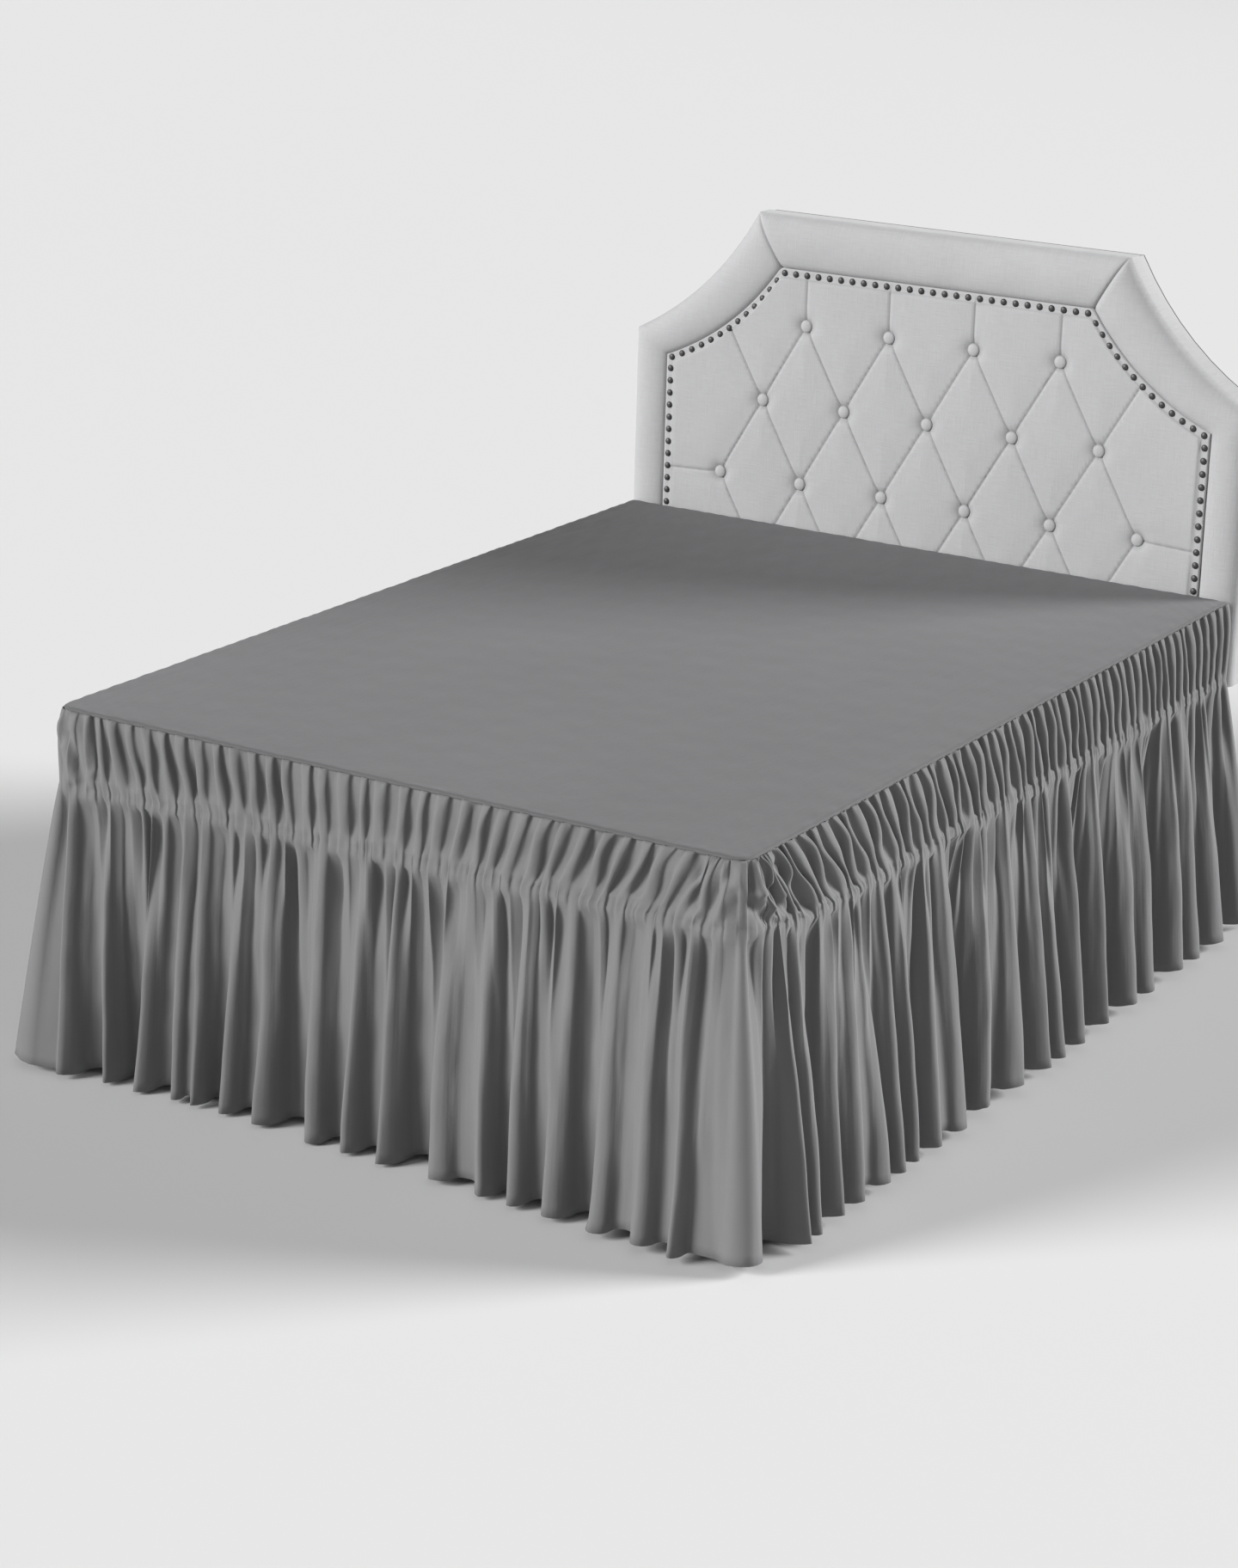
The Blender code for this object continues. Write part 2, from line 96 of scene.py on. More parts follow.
class Signal:
    """A shader socket that takes part in Python expressions."""

    def __init__(self, shader: "Shader", socket: bpy.types.NodeSocket) -> None:
        """Wraps one output socket.

        Args:
            shader: The shader that the socket belongs to.
            socket: The output socket.
        """
        self.shader = shader
        self.socket = socket

    def maths(self, operation: str, first: object, second: object) -> "Signal":
        """Adds one Math node.

        Args:
            operation: The Math node's operation.
            first: A signal or a number.
            second: A signal or a number.

        Returns:
            The node's value.
        """
        return self.shader.node("ShaderNodeMath", {"operation": operation}, {0: first, 1: second})

    def __add__(self, other: object) -> "Signal":
        """Adds a signal or a number."""
        return self.maths("ADD", self, other)

    def __radd__(self, other: object) -> "Signal":
        """Adds this signal to a number."""
        return self.maths("ADD", other, self)

    def __sub__(self, other: object) -> "Signal":
        """Takes away a signal or a number."""
        return self.maths("SUBTRACT", self, other)

    def __mul__(self, other: object) -> "Signal":
        """Multiplies by a signal or a number."""
        return self.maths("MULTIPLY", self, other)


class Shader:
    """One material's node tree, with its Principled shader."""

    def __init__(self, name: str) -> None:
        """Starts a material.

        Args:
            name: The material's name.
        """
        self.material = bpy.data.materials.new(name)
        self.material.use_nodes = True
        self.tree = self.material.node_tree
        self.principled = self.tree.nodes["Principled BSDF"]

    def node(self, kind: str, settings: dict, inputs: dict, output: int | str = 0) -> Signal:
        """Adds a node.

        Args:
            kind: The node's type.
            settings: Attributes of the node.
            inputs: Values or signals by socket name or number.
            output: The output to return.

        Returns:
            The chosen output as a signal.
        """
        made = self.tree.nodes.new(kind)
        for name, value in settings.items():
            setattr(made, name, value)
        for name, value in inputs.items():
            if isinstance(value, Signal):
                self.tree.links.new(value.socket, made.inputs[name])
            else:
                made.inputs[name].default_value = value
        return Signal(self, made.outputs[output])

    def set(self, **values: object) -> None:
        """Sets constants on the Principled shader's own sockets, named with underscores for spaces."""
        for name, value in values.items():
            self.principled.inputs[name.replace("_", " ")].default_value = value

    def feed(self, name: str, signal: Signal) -> None:
        """Links a signal to one of the Principled shader's sockets."""
        self.tree.links.new(signal.socket, self.principled.inputs[name])

    def object_point(self) -> Signal:
        """Returns the point in Object coordinates."""
        return self.node("ShaderNodeTexCoord", {}, {}, "Object")

    def uv_point(self) -> Signal:
        """Returns the point in the piece's own UV map, in metres of cloth."""
        return self.node("ShaderNodeTexCoord", {}, {}, "UV")

    def stretched(self, point: Signal, scale: Point) -> Signal:
        """Returns the point scaled along each axis."""
        return self.node("ShaderNodeMapping", {"vector_type": "POINT"}, {"Vector": point, "Scale": scale})

    def noise(self, point: Signal, scale: float, detail: float, roughness: float = 0.55) -> Signal:
        """Returns a noise from 0 to 1 over the point."""
        inputs = {"Vector": point, "Scale": scale, "Detail": detail, "Roughness": roughness}
        return self.node("ShaderNodeTexNoise", {}, inputs)

    def threads(self, point: Signal, direction: str, scale: float, distortion: float) -> Signal:
        """Returns parallel threads from 0 to 1, as a wave across the named axis."""
        inputs = {"Vector": point, "Scale": scale, "Distortion": distortion, "Detail": 2.0, "Detail Scale": 1.5}
        settings = {"wave_type": "BANDS", "bands_direction": direction}
        return self.node("ShaderNodeTexWave", settings, inputs, 1)

    def mixed(self, share: Signal, first: Signal | tuple, second: Signal | tuple) -> Signal:
        """Returns a colour between two, by a share from 0 to 1."""
        return self.node("ShaderNodeMix", {"data_type": "RGBA"}, {"Factor": share, 6: first, 7: second}, 2)

    def tinted(self, colour: Point, darkest: float, lightest: float, share: Signal) -> Signal:
        """Returns a colour between two shades of one, by a share from 0 to 1."""
        return self.mixed(share, shade(colour, darkest), shade(colour, lightest))

    def blended(self, *parts: tuple[Signal, float]) -> Signal:
        """Returns noises added up about their middle value, each by its weight."""
        total = MIDDLE
        for signal, weight in parts:
            total = total + (signal - MIDDLE) * weight
        return total

    def bump(self, height: Signal, distance: float, strength: float, under: Signal | None = None) -> Signal:
        """Returns a normal bumped by a height, on top of a finer one where that is given."""
        inputs = {"Height": height, "Distance": distance, "Strength": strength}
        if under is not None:
            inputs["Normal"] = under
        return self.node("ShaderNodeBump", {}, inputs, "Normal")


def shade(colour: Point, share: float) -> tuple[float, float, float, float]:
    """Returns the colour times a share, opaque."""
    return (colour[0] * share, colour[1] * share, colour[2] * share, 1.0)


@dataclass(frozen=True)
class BrushedCloth:
    """Matt brushed polyester, dark grey, with soft creases over a fine weave."""

    name: str = "skirt_brushed_cloth"
    colour: Point = (0.145, 0.145, 0.147)
    roughness: float = 0.82
    sheen: float = 0.10
    thread_scale: float = 45.0
    cloudiness: float = 0.07

    def make(self) -> bpy.types.Material:
        """Returns the material."""
        shader = Shader(self.name)
        cloth = shader.uv_point()
        place = shader.object_point()
        clouds = shader.noise(place, scale=2.2, detail=2.0)
        brushed = shader.noise(shader.stretched(cloth, (90.0, 22.0, 1.0)), scale=1.0, detail=4.0)
        weft = shader.threads(cloth, "X", scale=self.thread_scale, distortion=0.6)
        warp = shader.threads(cloth, "Y", scale=self.thread_scale, distortion=0.6)
        grain = shader.noise(place, scale=420.0, detail=3.0, roughness=0.7)
        tone = shader.blended((clouds, 1.3), (brushed, 0.5), (grain, 0.35))
        darkest, lightest = 1.0 - self.cloudiness, 1.0 + self.cloudiness
        shader.feed("Base Color", shader.tinted(self.colour, darkest, lightest, tone))
        shader.feed("Roughness", self.roughness + (grain - MIDDLE) * 0.12)
        creases = shader.noise(shader.stretched(cloth, (26.0, 9.0, 1.0)), scale=1.0, detail=3.0)
        weave = (weft + warp) * 0.12 + grain * 0.5 + brushed * 0.6
        fine = shader.bump(weave, distance=0.0006, strength=0.55)
        shader.feed("Normal", shader.bump(creases, distance=0.004, strength=0.35, under=fine))
        shader.set(Sheen_Weight=self.sheen, Sheen_Roughness=0.5, Sheen_Tint=(0.75, 0.75, 0.78, 1.0))
        shader.set(Specular_IOR_Level=0.28)
        return shader.material


@dataclass(frozen=True)
class Linen:
    """Light grey woven upholstery with slubs, with painted shade in its creases where the painted-shade
    attribute says.
    """

    name: str = "headboard_woven_linen"
    colour: Point = (0.370, 0.370, 0.375)
    roughness: float = 0.9
    # Painted shade: how strongly the attribute darkens the linen, and the shade colour as a share of the
    # linen's.
    crease_shade_strength: float = 0.46
    crease_shade: float = 0.3

    def make(self) -> bpy.types.Material:
        """Returns the material."""
        shader = Shader(self.name)
        place = shader.object_point()
        flat_threads, tall_threads = (26.0, 26.0, 420.0), (480.0, 26.0, 22.0)
        across = shader.noise(shader.stretched(place, flat_threads), scale=1.0, detail=4.0, roughness=0.6)
        upright = shader.noise(shader.stretched(place, tall_threads), scale=1.0, detail=4.0, roughness=0.6)
        clouds = shader.noise(place, scale=3.5, detail=2.0)
        painted_shade_mask = shader.node("ShaderNodeAttribute", {"attribute_name": PAINTED_SHADE_ATTRIBUTE}, {}, "Fac")
        tone = shader.blended((across, 0.7), (upright, 0.7), (clouds, 0.4))
        cloth = shader.tinted(self.colour, 0.86, 1.12, tone)
        # Painted shade: the creases, the rings about the buttons and the welt are darkened in the colour.
        shadow = shade(self.colour, self.crease_shade)
        shader.feed("Base Color", shader.mixed(painted_shade_mask * self.crease_shade_strength, cloth, shadow))
        shader.feed("Roughness", self.roughness + (across - MIDDLE) * 0.1)
        shader.feed("Normal", shader.bump(across + upright, distance=0.0009, strength=0.6))
        shader.set(Sheen_Weight=0.12, Sheen_Roughness=0.45, Specular_IOR_Level=0.3)
        return shader.material


@dataclass(frozen=True)
class Ticking:
    """Off-white ticking with a plain weave."""

    name: str = "base_plain_ticking"
    colour: Point = (0.60, 0.60, 0.575)

    def make(self) -> bpy.types.Material:
        """Returns the material."""
        shader = Shader(self.name)
        place = shader.object_point()
        weave = shader.noise(shader.stretched(place, (260.0, 260.0, 420.0)), scale=1.0, detail=3.0)
        clouds = shader.noise(place, scale=5.0, detail=2.0)
        tone = shader.blended((weave, 0.8), (clouds, 0.6))
        shader.feed("Base Color", shader.tinted(self.colour, 0.88, 1.08, tone))
        shader.feed("Normal", shader.bump(weave, distance=0.0008, strength=0.5))
        shader.set(Roughness=0.9, Specular_IOR_Level=0.25)
        return shader.material


@dataclass(frozen=True)
class PaintedSteel:
    """Black powder coat with a fine orange-peel surface."""

    name: str = "frame_powder_coat"
    colour: Point = (0.030, 0.030, 0.032)

    def make(self) -> bpy.types.Material:
        """Returns the material."""
        shader = Shader(self.name)
        place = shader.object_point()
        peel = shader.noise(place, scale=650.0, detail=2.0)
        dust = shader.noise(place, scale=9.0, detail=4.0)
        shader.feed("Base Color", shader.tinted(self.colour, 1.0, 1.9, dust))
        shader.feed("Roughness", 0.38 + dust * 0.18)
        shader.feed("Normal", shader.bump(peel, distance=0.0004, strength=0.4))
        shader.set(Metallic=0.0, Specular_IOR_Level=0.5)
        return shader.material


@dataclass(frozen=True)
class StainedBoard:
    """Board stained black, with its grain along X. Linen covers it as far back as "covered" says."""

    name: str = "back_stained_board"
    colour: Point = (0.045, 0.042, 0.040)
    linen: Point = (0.370, 0.370, 0.375)
    covered: float = 0.0

    def make(self) -> bpy.types.Material:
        """Returns the material."""
        shader = Shader(self.name)
        place = shader.object_point()
        long_grain, threads = (3.0, 30.0, 60.0), (420.0, 420.0, 420.0)
        grain = shader.noise(shader.stretched(place, long_grain), scale=1.0, detail=6.0, roughness=0.65)
        weave = shader.noise(shader.stretched(place, threads), scale=1.0, detail=3.0)
        depth = shader.node("ShaderNodeSeparateXYZ", {}, {0: place}, "Y")
        bare = depth.maths("GREATER_THAN", depth, self.covered)
        board = shader.tinted(self.colour, 0.7, 1.7, grain)
        linen = shader.tinted(self.linen, 0.86, 1.12, weave)
        shader.feed("Base Color", shader.mixed(bare, linen, board))
        shader.feed("Roughness", 0.72 + grain * 0.2)
        shader.feed("Normal", shader.bump(grain + weave, distance=0.0008, strength=0.5))
        return shader.material


@dataclass(frozen=True)
class NailMetal:
    """Dark antiqued nail heads, rubbed lighter in places."""

    name: str = "nail_antique_metal"
    colour: Point = (0.026, 0.025, 0.025)

    def make(self) -> bpy.types.Material:
        """Returns the material."""
        shader = Shader(self.name)
        rubbed = shader.noise(shader.object_point(), scale=300.0, detail=3.0)
        shader.feed("Base Color", shader.tinted(self.colour, 1.0, 3.0, rubbed))
        shader.feed("Roughness", 0.35 + rubbed * 0.25)
        shader.set(Metallic=0.35)
        return shader.material


@dataclass(frozen=True)
class PaleFloor:
    """A plain pale floor."""

    name: str = "studio_floor"
    colour: Point = (0.56, 0.56, 0.56)

    def make(self) -> bpy.types.Material:
        """Returns the material."""
        shader = Shader(self.name)
        shader.set(Base_Color=(*self.colour, 1.0), Roughness=0.9, Specular_IOR_Level=0.1)
        return shader.material


def uneven(number: np.ndarray | float, salt: float) -> np.ndarray:
    """Returns repeatable values from -1 to 1, one for each gather or fold."""
    return (np.sin(12.9898 * np.asarray(number) + 78.233 * salt) * 4375.85453) % 2.0 - 1.0


def ripple(first: np.ndarray, second: np.ndarray, salt: float) -> np.ndarray:
    """Returns a smooth uneven wave from -1 to 1 over two coordinates, about one unit long.

    Args:
        first: The first coordinate.
        second: The second coordinate.
        salt: Tells one ripple from another.

    Returns:
        The wave, in the coordinates' common shape.
    """
    total = 0.0
    for turn in range(5):
        angle = salt * 1.7 + turn * 2.4
        across = first * math.cos(angle) + second * math.sin(angle)
        total = total + np.sin(across * (4.3 + 1.9 * turn) + salt * 11.3 + turn * 5.1)
    return total / 3.6


def smooth_step(low: float, high: float, value: np.ndarray) -> np.ndarray:
    """Returns 0 below the low value and 1 above the high one, with a smooth rise between."""
    share = np.clip((value - low) / (high - low), 0.0, 1.0)
    return share * share * (3.0 - 2.0 * share)


def read_table(table: Table, place: np.ndarray) -> np.ndarray:
    """Returns a table's values at the places, straight between its rows and level past its ends."""
    return np.interp(place, [row[0] for row in table], [row[1] for row in table])


@dataclass(frozen=True)
class Fold:
    """One fold of the drop: where its ridge leaves the shirred line, and where it meets the hem."""

    top: float
    hem: float


@dataclass(frozen=True)
class Crease:
    """One crease of the heading beside a foot corner: a soft ridge where its rise is positive, else a trough.

    It runs between two points, each as metres from the corner and a share of the way down the heading.
    """

    high: tuple[float, float]
    low: tuple[float, float]
    rise: float
    width: float


@dataclass(frozen=True)
class Side:
    """One side of the bed, with what its cloth does. Places are metres from the side's middle.

    "crest" is how broad the folds' ridges are: 1 is even, and less is a narrow ridge and a broad valley.
    "heading_crest" is the same for the gathers of the heading.
    "paired" is the share of its depth that every second gather loses below the shirred band.
    "skew" moves each valley towards the next ridge, as a share of the way between two ridges.
    "band" is how far the flat shirred band reaches above and below its line, and "dip" its valleys' depth.
    "shallow" is the share of their depth that the folds keep along the side.
    """

    name: str
    along: Point
    outward: Point
    reach: float
    half: float
    corner_start: bool
    corner_end: bool
    gathers: int
    salt: float
    folds: tuple[Fold, ...]
    shirred: Table
    flare: Table
    lean: Table
    crest: float
    heading_crest: float
    paired: float
    skew: float
    gather_depth: float
    band: tuple[float, float]
    dip: float
    creases: tuple[Crease, ...]
    curls: Table = ()
    shallow: Table = ((0.0, 1.0),)


@dataclass(frozen=True)
class Waves:
    """Where columns lie between ridges and valleys: the place, the valley's number and the way down to it."""

    place: np.ndarray
    valley: np.ndarray
    down: np.ndarray

    def depth(self, crest: float | np.ndarray) -> np.ndarray:
        """Returns 0 on a ridge and 1 in a valley, with ridges as broad as the crest asks."""
        return (1.0 - np.cos(math.pi * self.down**crest)) / 2.0


@dataclass
class SideDrape:
    """How the cloth of one side falls: gathers from seam to shirred line, and folds from there to the hem."""

    side: Side
    deck_top: float
    corner_radius: float = 0.030
    seam_drop: float = 0.0052
    hem_clearance: float = 0.009
    fullness: float = 1.8
    depth_share: float = 0.47
    deepest_valley: float = -0.014
    middle_pull: float = 0.06
    heading_rows: int = 30
    drop_rows: int = 36
    crowding: float = 1.25
    seam_out: float = 0.0030
    seam_dip: float = 0.0070
    heading_out: float = 0.0125
    line_out: float = 0.0110
    line_waver: float = 0.0022
    crest_uneven: float = 0.22
    fullest: float = 1.12
    fullest_uneven: float = 0.38
    band_uneven: float = 0.45
    opening: float = 0.62
    swelling: float = 0.7
    gather_bend: float = 0.10
    gather_turn: float = 2.1
    corner_calm: float = 0.72
    seam_fade: float = 9.0
    line_fade: float = 7.0
    drop_fade: float = 26.0
    fold_uneven: float = 0.20
    fold_start: float = 0.74
    flare_start: float = 0.9
    stitch_reach: float = 0.03
    drop_gather: float = 0.024
    gather_uneven: float = 0.30
    gather_shift: float = 0.16
    shortest_gather: float = 0.12
    lasting_spread: float = 0.20
    opened_within: float = 0.045
    fading: float = 1.7
    broader: float = 0.05
    broader_uneven: float = 0.18
    sway_along: float = 0.007
    sway_out: float = 0.005
    sway_held: float = 0.35
    drop_wrinkle: float = 1.4
    wrinkle_start: float = 0.2
    wrinkle_held: float = 0.4
    hem_lift: float = 0.008
    hem_waver: float = 0.003
    lift_crest: float = 1.4
    lift_growth: int = 6
    curl_reach: float = 0.020
    curl_start: float = 0.955
    curl_lift: float = 0.8
    round_gather: float = 0.066
    round_fold: float = 0.056
    pucker: float = 0.0013
    wrinkle: float = 0.0011
    streak: float = 0.0004
    corner_reach: float = 0.085
    end_reach: float = 0.05

    def __post_init__(self) -> None:
        """Works out the cloth's ends and the tables of its gathers and folds."""
        side = self.side
        round_end = side.half - self.corner_radius * (1.0 - math.pi / 4.0)
        self.start = -round_end if side.corner_start else -side.half
        self.end = round_end if side.corner_end else side.half
        self.pitch = (self.end - self.start) / side.gathers
        self.gather_table()
        self.fold_table()

    def gather_table(self) -> None:
        """Works out the gathers' places: a ridge at each whole number, and a valley half-way between."""
        steps = np.arange(2 * self.side.gathers + 1)
        inside = (steps > 0) & (steps < 2 * self.side.gathers)
        shift = self.gather_shift * uneven(steps, self.side.salt) + self.side.skew * (steps % 2)
        self.gather_numbers = steps / 2.0
        self.gather_places = self.start + self.pitch * (self.gather_numbers + np.where(inside, shift, 0.0))

    def fold_table(self) -> None:
        """Works out the folds: each starts from the gather nearest its top, as deep as its cloth allows."""
        ridges = [(0.0, self.start)]
        for fold in self.side.folds:
            number = float(round((fold.top - self.start) / self.pitch))
            if ridges[-1][0] < number < self.side.gathers:
                ridges.append((number, fold.hem))
        ridges.append((float(self.side.gathers), self.end))
        numbers, places, depths = [0.0], [self.start], []
        for (first, hem), (last, next_hem) in zip(ridges, ridges[1:]):
            middle = hem + (next_hem - hem) * (0.5 + self.side.skew)
            cloth = (last - first) * self.pitch * self.fullness
            depth = self.depth_share * math.sqrt(max(cloth**2 - (next_hem - hem) ** 2, 0.0))
            outer = float(read_table(self.side.flare, np.array(middle)))
            numbers += [(first + last) / 2.0, last]
            places += [middle, next_hem]
            kept = float(read_table(self.side.shallow, np.array(middle)))
            depths.append(min(depth, outer - self.deepest_valley) * kept)
        self.fold_numbers, self.fold_places = np.array(numbers), np.array(places)
        self.fold_depths = np.array(depths)

    def waves(self, steps: np.ndarray, places: np.ndarray, numbers: np.ndarray, rounding: float) -> Waves:
        """Finds each column's place between a ridge and a valley.

        Args:
            steps: The numbers of the ridges and valleys in turn, from a ridge on.
            places: Their places along the side.
            numbers: The columns' gather numbers.
            rounding: How much the cloth bulges sideways over ridges and valleys.

        Returns:
            The columns' waves.
        """
        row = np.clip(np.searchsorted(steps, numbers, side="right") - 1, 0, len(steps) - 2)
        share = (numbers - steps[row]) / (steps[row + 1] - steps[row])
        half = places[row + 1] - places[row]
        place = places[row] + half * share + rounding * 2.0 * half * np.sin(2.0 * math.pi * share)
        down = np.where(row % 2 == 0, share, 1.0 - share)
        return Waves(place, row // 2, np.clip(down, 0.0, 1.0))

    def calm(self, place: np.ndarray, reach: float) -> np.ndarray:
        """Returns 0 at the cloth's two ends and 1 a reach inside them."""
        return smooth_step(0.0, reach, np.minimum(place - self.start, self.end - place))

    def line_height(self, place: np.ndarray) -> np.ndarray:
        """Returns the height of the shirred line, which wavers a little along the side."""
        waver = ripple(place * 7.0, place * 2.0, self.side.salt + Draw.LINE) * self.calm(place, 0.06)
        return read_table(self.side.shirred, place) + self.line_waver * waver

    def heading_part(self, numbers: np.ndarray, levels: np.ndarray) -> tuple[np.ndarray, ...]:
        """Works out the heading, between the seam and the shirred line.

        Args:
            numbers: The columns' gather numbers.
            levels: A column of levels, 0 at the seam and 1 at the shirred line.

        Returns:
            The places along the side, the distances out and the heights.
        """
        salt = self.side.salt
        gathers = self.waves(self.gather_numbers, self.gather_places, numbers, self.round_gather)
        place = gathers.place
        seam_place = place - read_table(self.side.lean, place)
        crest = self.side.heading_crest + self.crest_uneven * uneven(gathers.valley, salt + Draw.CREST)
        peak = self.fullest + self.fullest_uneven * uneven(gathers.valley, salt + Draw.FULLEST)
        seam_height = self.deck_top - self.seam_drop
        height = seam_height - self.line_height(place)
        band = self.side.band[0] * (1.0 + self.band_uneven * uneven(gathers.valley, salt + Draw.BAND))
        flat_from = 1.0 - band / height
        opened = np.sin(math.pi * np.clip(levels / flat_from, 0.0, 1.0) ** peak) ** self.opening
        deepness = 1.0 + self.gather_uneven * uneven(gathers.valley, salt + Draw.DEEPNESS)
        swell = np.sin(math.pi * levels) ** self.swelling
        rise = self.seam_out + (self.line_out - self.seam_out) * levels
        rise = rise + swell * (self.heading_out - rise)
        depth = self.seam_dip + (self.side.dip - self.seam_dip) * levels
        depth = depth + opened * (self.side.gather_depth * deepness - depth)
        bend = self.gather_bend * np.sin(2.0 * math.pi * levels) * np.sin(numbers * self.gather_turn + salt)
        bent = levels + bend * self.calm(place, self.end_reach)
        places = seam_place + (place - seam_place) * bent
        out = rise - depth * gathers.depth(crest) * (1.0 - self.corner_calm * self.beside_corner(places))
        near_seam = np.exp(-((levels * self.seam_fade) ** 2))
        near_line = np.exp(-(((1.0 - levels) * self.line_fade) ** 2))
        out = out + self.puckers(numbers, place) * (near_seam + near_line)
        out = out + self.crumpled(places, levels, height)
        out = out + self.wrinkles(place, levels * 0.55, Draw.HEADING_WRINKLES)
        return places, out, seam_height - height * levels

    def wrinkles(self, place: np.ndarray, levels: np.ndarray, salt: float) -> np.ndarray:
        """Returns the cloth's soft wrinkles and fine upright streaks.

        Args:
            place: Places along the side.
            levels: A column of levels.
            salt: Tells one part's wrinkles from another's.

        Returns:
            The distances out.
        """
        soft = ripple(place * 27.0, levels * 3.0, self.side.salt + salt)
        fine = ripple(place * 75.0, levels * 4.0, self.side.salt + salt + 3.0)
        return self.calm(place, 0.03) * (self.wrinkle * soft + self.streak * fine)

    def beside_corner(self, place: np.ndarray) -> np.ndarray:
        """Returns 1 at the foot corners, falling to 0 beyond their reach."""
        total = 0.0
        if self.side.corner_start:
            total = total + np.exp(-(((place - self.start) / self.corner_reach) ** 2))
        if self.side.corner_end:
            total = total + np.exp(-(((self.end - place) / self.corner_reach) ** 2))
        return total

    def shifted(self, numbers: np.ndarray) -> np.ndarray:
        """Returns the gather numbers below the shirred line, where some gathers move over to a neighbour."""
        salt = self.side.salt
        move = 0.40 * np.sin(0.83 * numbers + 2.1 * salt) + 0.13 * np.sin(2.17 * numbers + salt)
        from_end = np.minimum(numbers, self.side.gathers - numbers)
        return numbers + move * smooth_step(0.0, 3.0, from_end)

    def puckers(self, numbers: np.ndarray, place: np.ndarray) -> np.ndarray:
        """Returns the small puckers that the stitches draw up between two gathers."""
        wander = 0.6 * np.sin(numbers * 1.31 + self.side.salt)
        return self.pucker * self.calm(place, 0.02) * np.cos(2.0 * math.pi * (3.0 * numbers + wander))

    def crumpled(self, places: np.ndarray, levels: np.ndarray, height: np.ndarray) -> np.ndarray:
        """Returns how far the heading's listed creases beside the foot corners stand out and in.

        Args:
            places: Places along the side.
            levels: A column of levels, 0 at the seam and 1 at the shirred line.
            height: The heading's height at each column.

        Returns:
            The distances.
        """
        total = np.zeros(places.shape)
        for is_there, away in ((self.side.corner_start, places - self.start),
                               (self.side.corner_end, self.end - places)):
            if not is_there:
                continue
            kept = smooth_step(0.0, 0.008, away)
            for crease in self.side.creases:
                run = (crease.low[0] - crease.high[0], (crease.low[1] - crease.high[1]) * height)
                across, down = away - crease.high[0], (levels - crease.high[1]) * height
                share = np.clip((across * run[0] + down * run[1]) / (run[0] ** 2 + run[1] ** 2), 0.0, 1.0)
                gap = np.hypot(across - share * run[0], down - share * run[1])
                total = total + crease.rise * kept * np.exp(-((gap / crease.width) ** 2))
        return total * np.sin(math.pi * levels) ** 0.35

    def drop_part(self, numbers: np.ndarray, levels: np.ndarray) -> tuple[np.ndarray, ...]:
        """Works out the drop, between the shirred line and the hem.

        Args:
            numbers: The columns' gather numbers.
            levels: A column of levels, 0 at the shirred line and 1 at the hem.

        Returns:
            The places along the side, the distances out and the heights.
        """
        gathers = self.waves(self.gather_numbers, self.gather_places, numbers, self.round_gather)
        folds = self.waves(self.fold_numbers, self.fold_places, numbers, self.round_fold)
        below = self.waves(self.gather_numbers, self.gather_places, self.shifted(numbers), self.round_gather)
        salt, place, line = self.side.salt, gathers.place, self.line_height(gathers.place)
        crest = self.side.crest * (1.0 + self.fold_uneven * uneven(folds.valley, salt + Draw.FOLD_CREST))
        flare = read_table(self.side.flare, folds.place)
        fold_depth = self.fold_depths[folds.valley] * folds.depth(crest)
        band = self.side.band[1] * (1.0 + self.band_uneven * uneven(below.valley, salt + Draw.DROP_BAND)) / line
        folded = np.clip((levels - band) / (1.0 - band), 0.0, 1.0) ** self.fold_start
        stitched = np.exp(-((levels / (self.stitch_reach + band)) ** 2))
        out = self.line_out + (flare - self.line_out) * levels**self.flare_start - fold_depth * folded
        out = out - self.side.dip * stitched * gathers.depth(self.side.heading_crest)
        out = out - self.lasting_gathers(below, band, levels)
        out = out + self.puckers(numbers, place) * np.exp(-((levels * self.drop_fade) ** 2))
        sideways = folds.place - place
        places = place + sideways * levels * (1.0 - self.middle_pull * (1.0 - levels))
        cut, forward = line - self.hem_clearance, flare - fold_depth - self.line_out
        hang = np.sqrt(cut**2 - forward**2 - sideways**2)
        places, out = self.swayed(place, levels, places, out)
        out, heights = self.at_hem(folds, levels, out, line - hang * levels, self.calm(place, self.end_reach))
        return places, out, heights

    def lasting_gathers(self, below: Waves, band: np.ndarray, levels: np.ndarray) -> np.ndarray:
        """Works out the gathers that run on below the shirred band, each as far down as it lasts.

        Args:
            below: The gathers' waves below the line.
            band: How far the flat band reaches down, as a share of the drop.
            levels: A column of levels, 0 at the shirred line and 1 at the hem.

        Returns:
            The gathers' depths.
        """
        salt = self.side.salt
        lasting = self.shortest_gather + self.lasting_spread * (1.0 + uneven(below.valley, salt + Draw.LASTING))
        opened = 1.0 - np.exp(-np.maximum(levels - band, 0.0) / self.opened_within)
        faded = np.exp(-((levels / lasting) ** self.fading))
        deepness = 1.0 + self.gather_uneven * uneven(below.valley, salt + Draw.DROP_DEEPNESS)
        deepness = deepness * (1.0 - self.side.paired * (below.valley % 2))
        crest = self.side.crest + self.broader
        crest = crest + self.broader_uneven * uneven(below.valley, salt + Draw.DROP_CREST)
        return self.drop_gather * deepness * opened * faded * below.depth(crest)

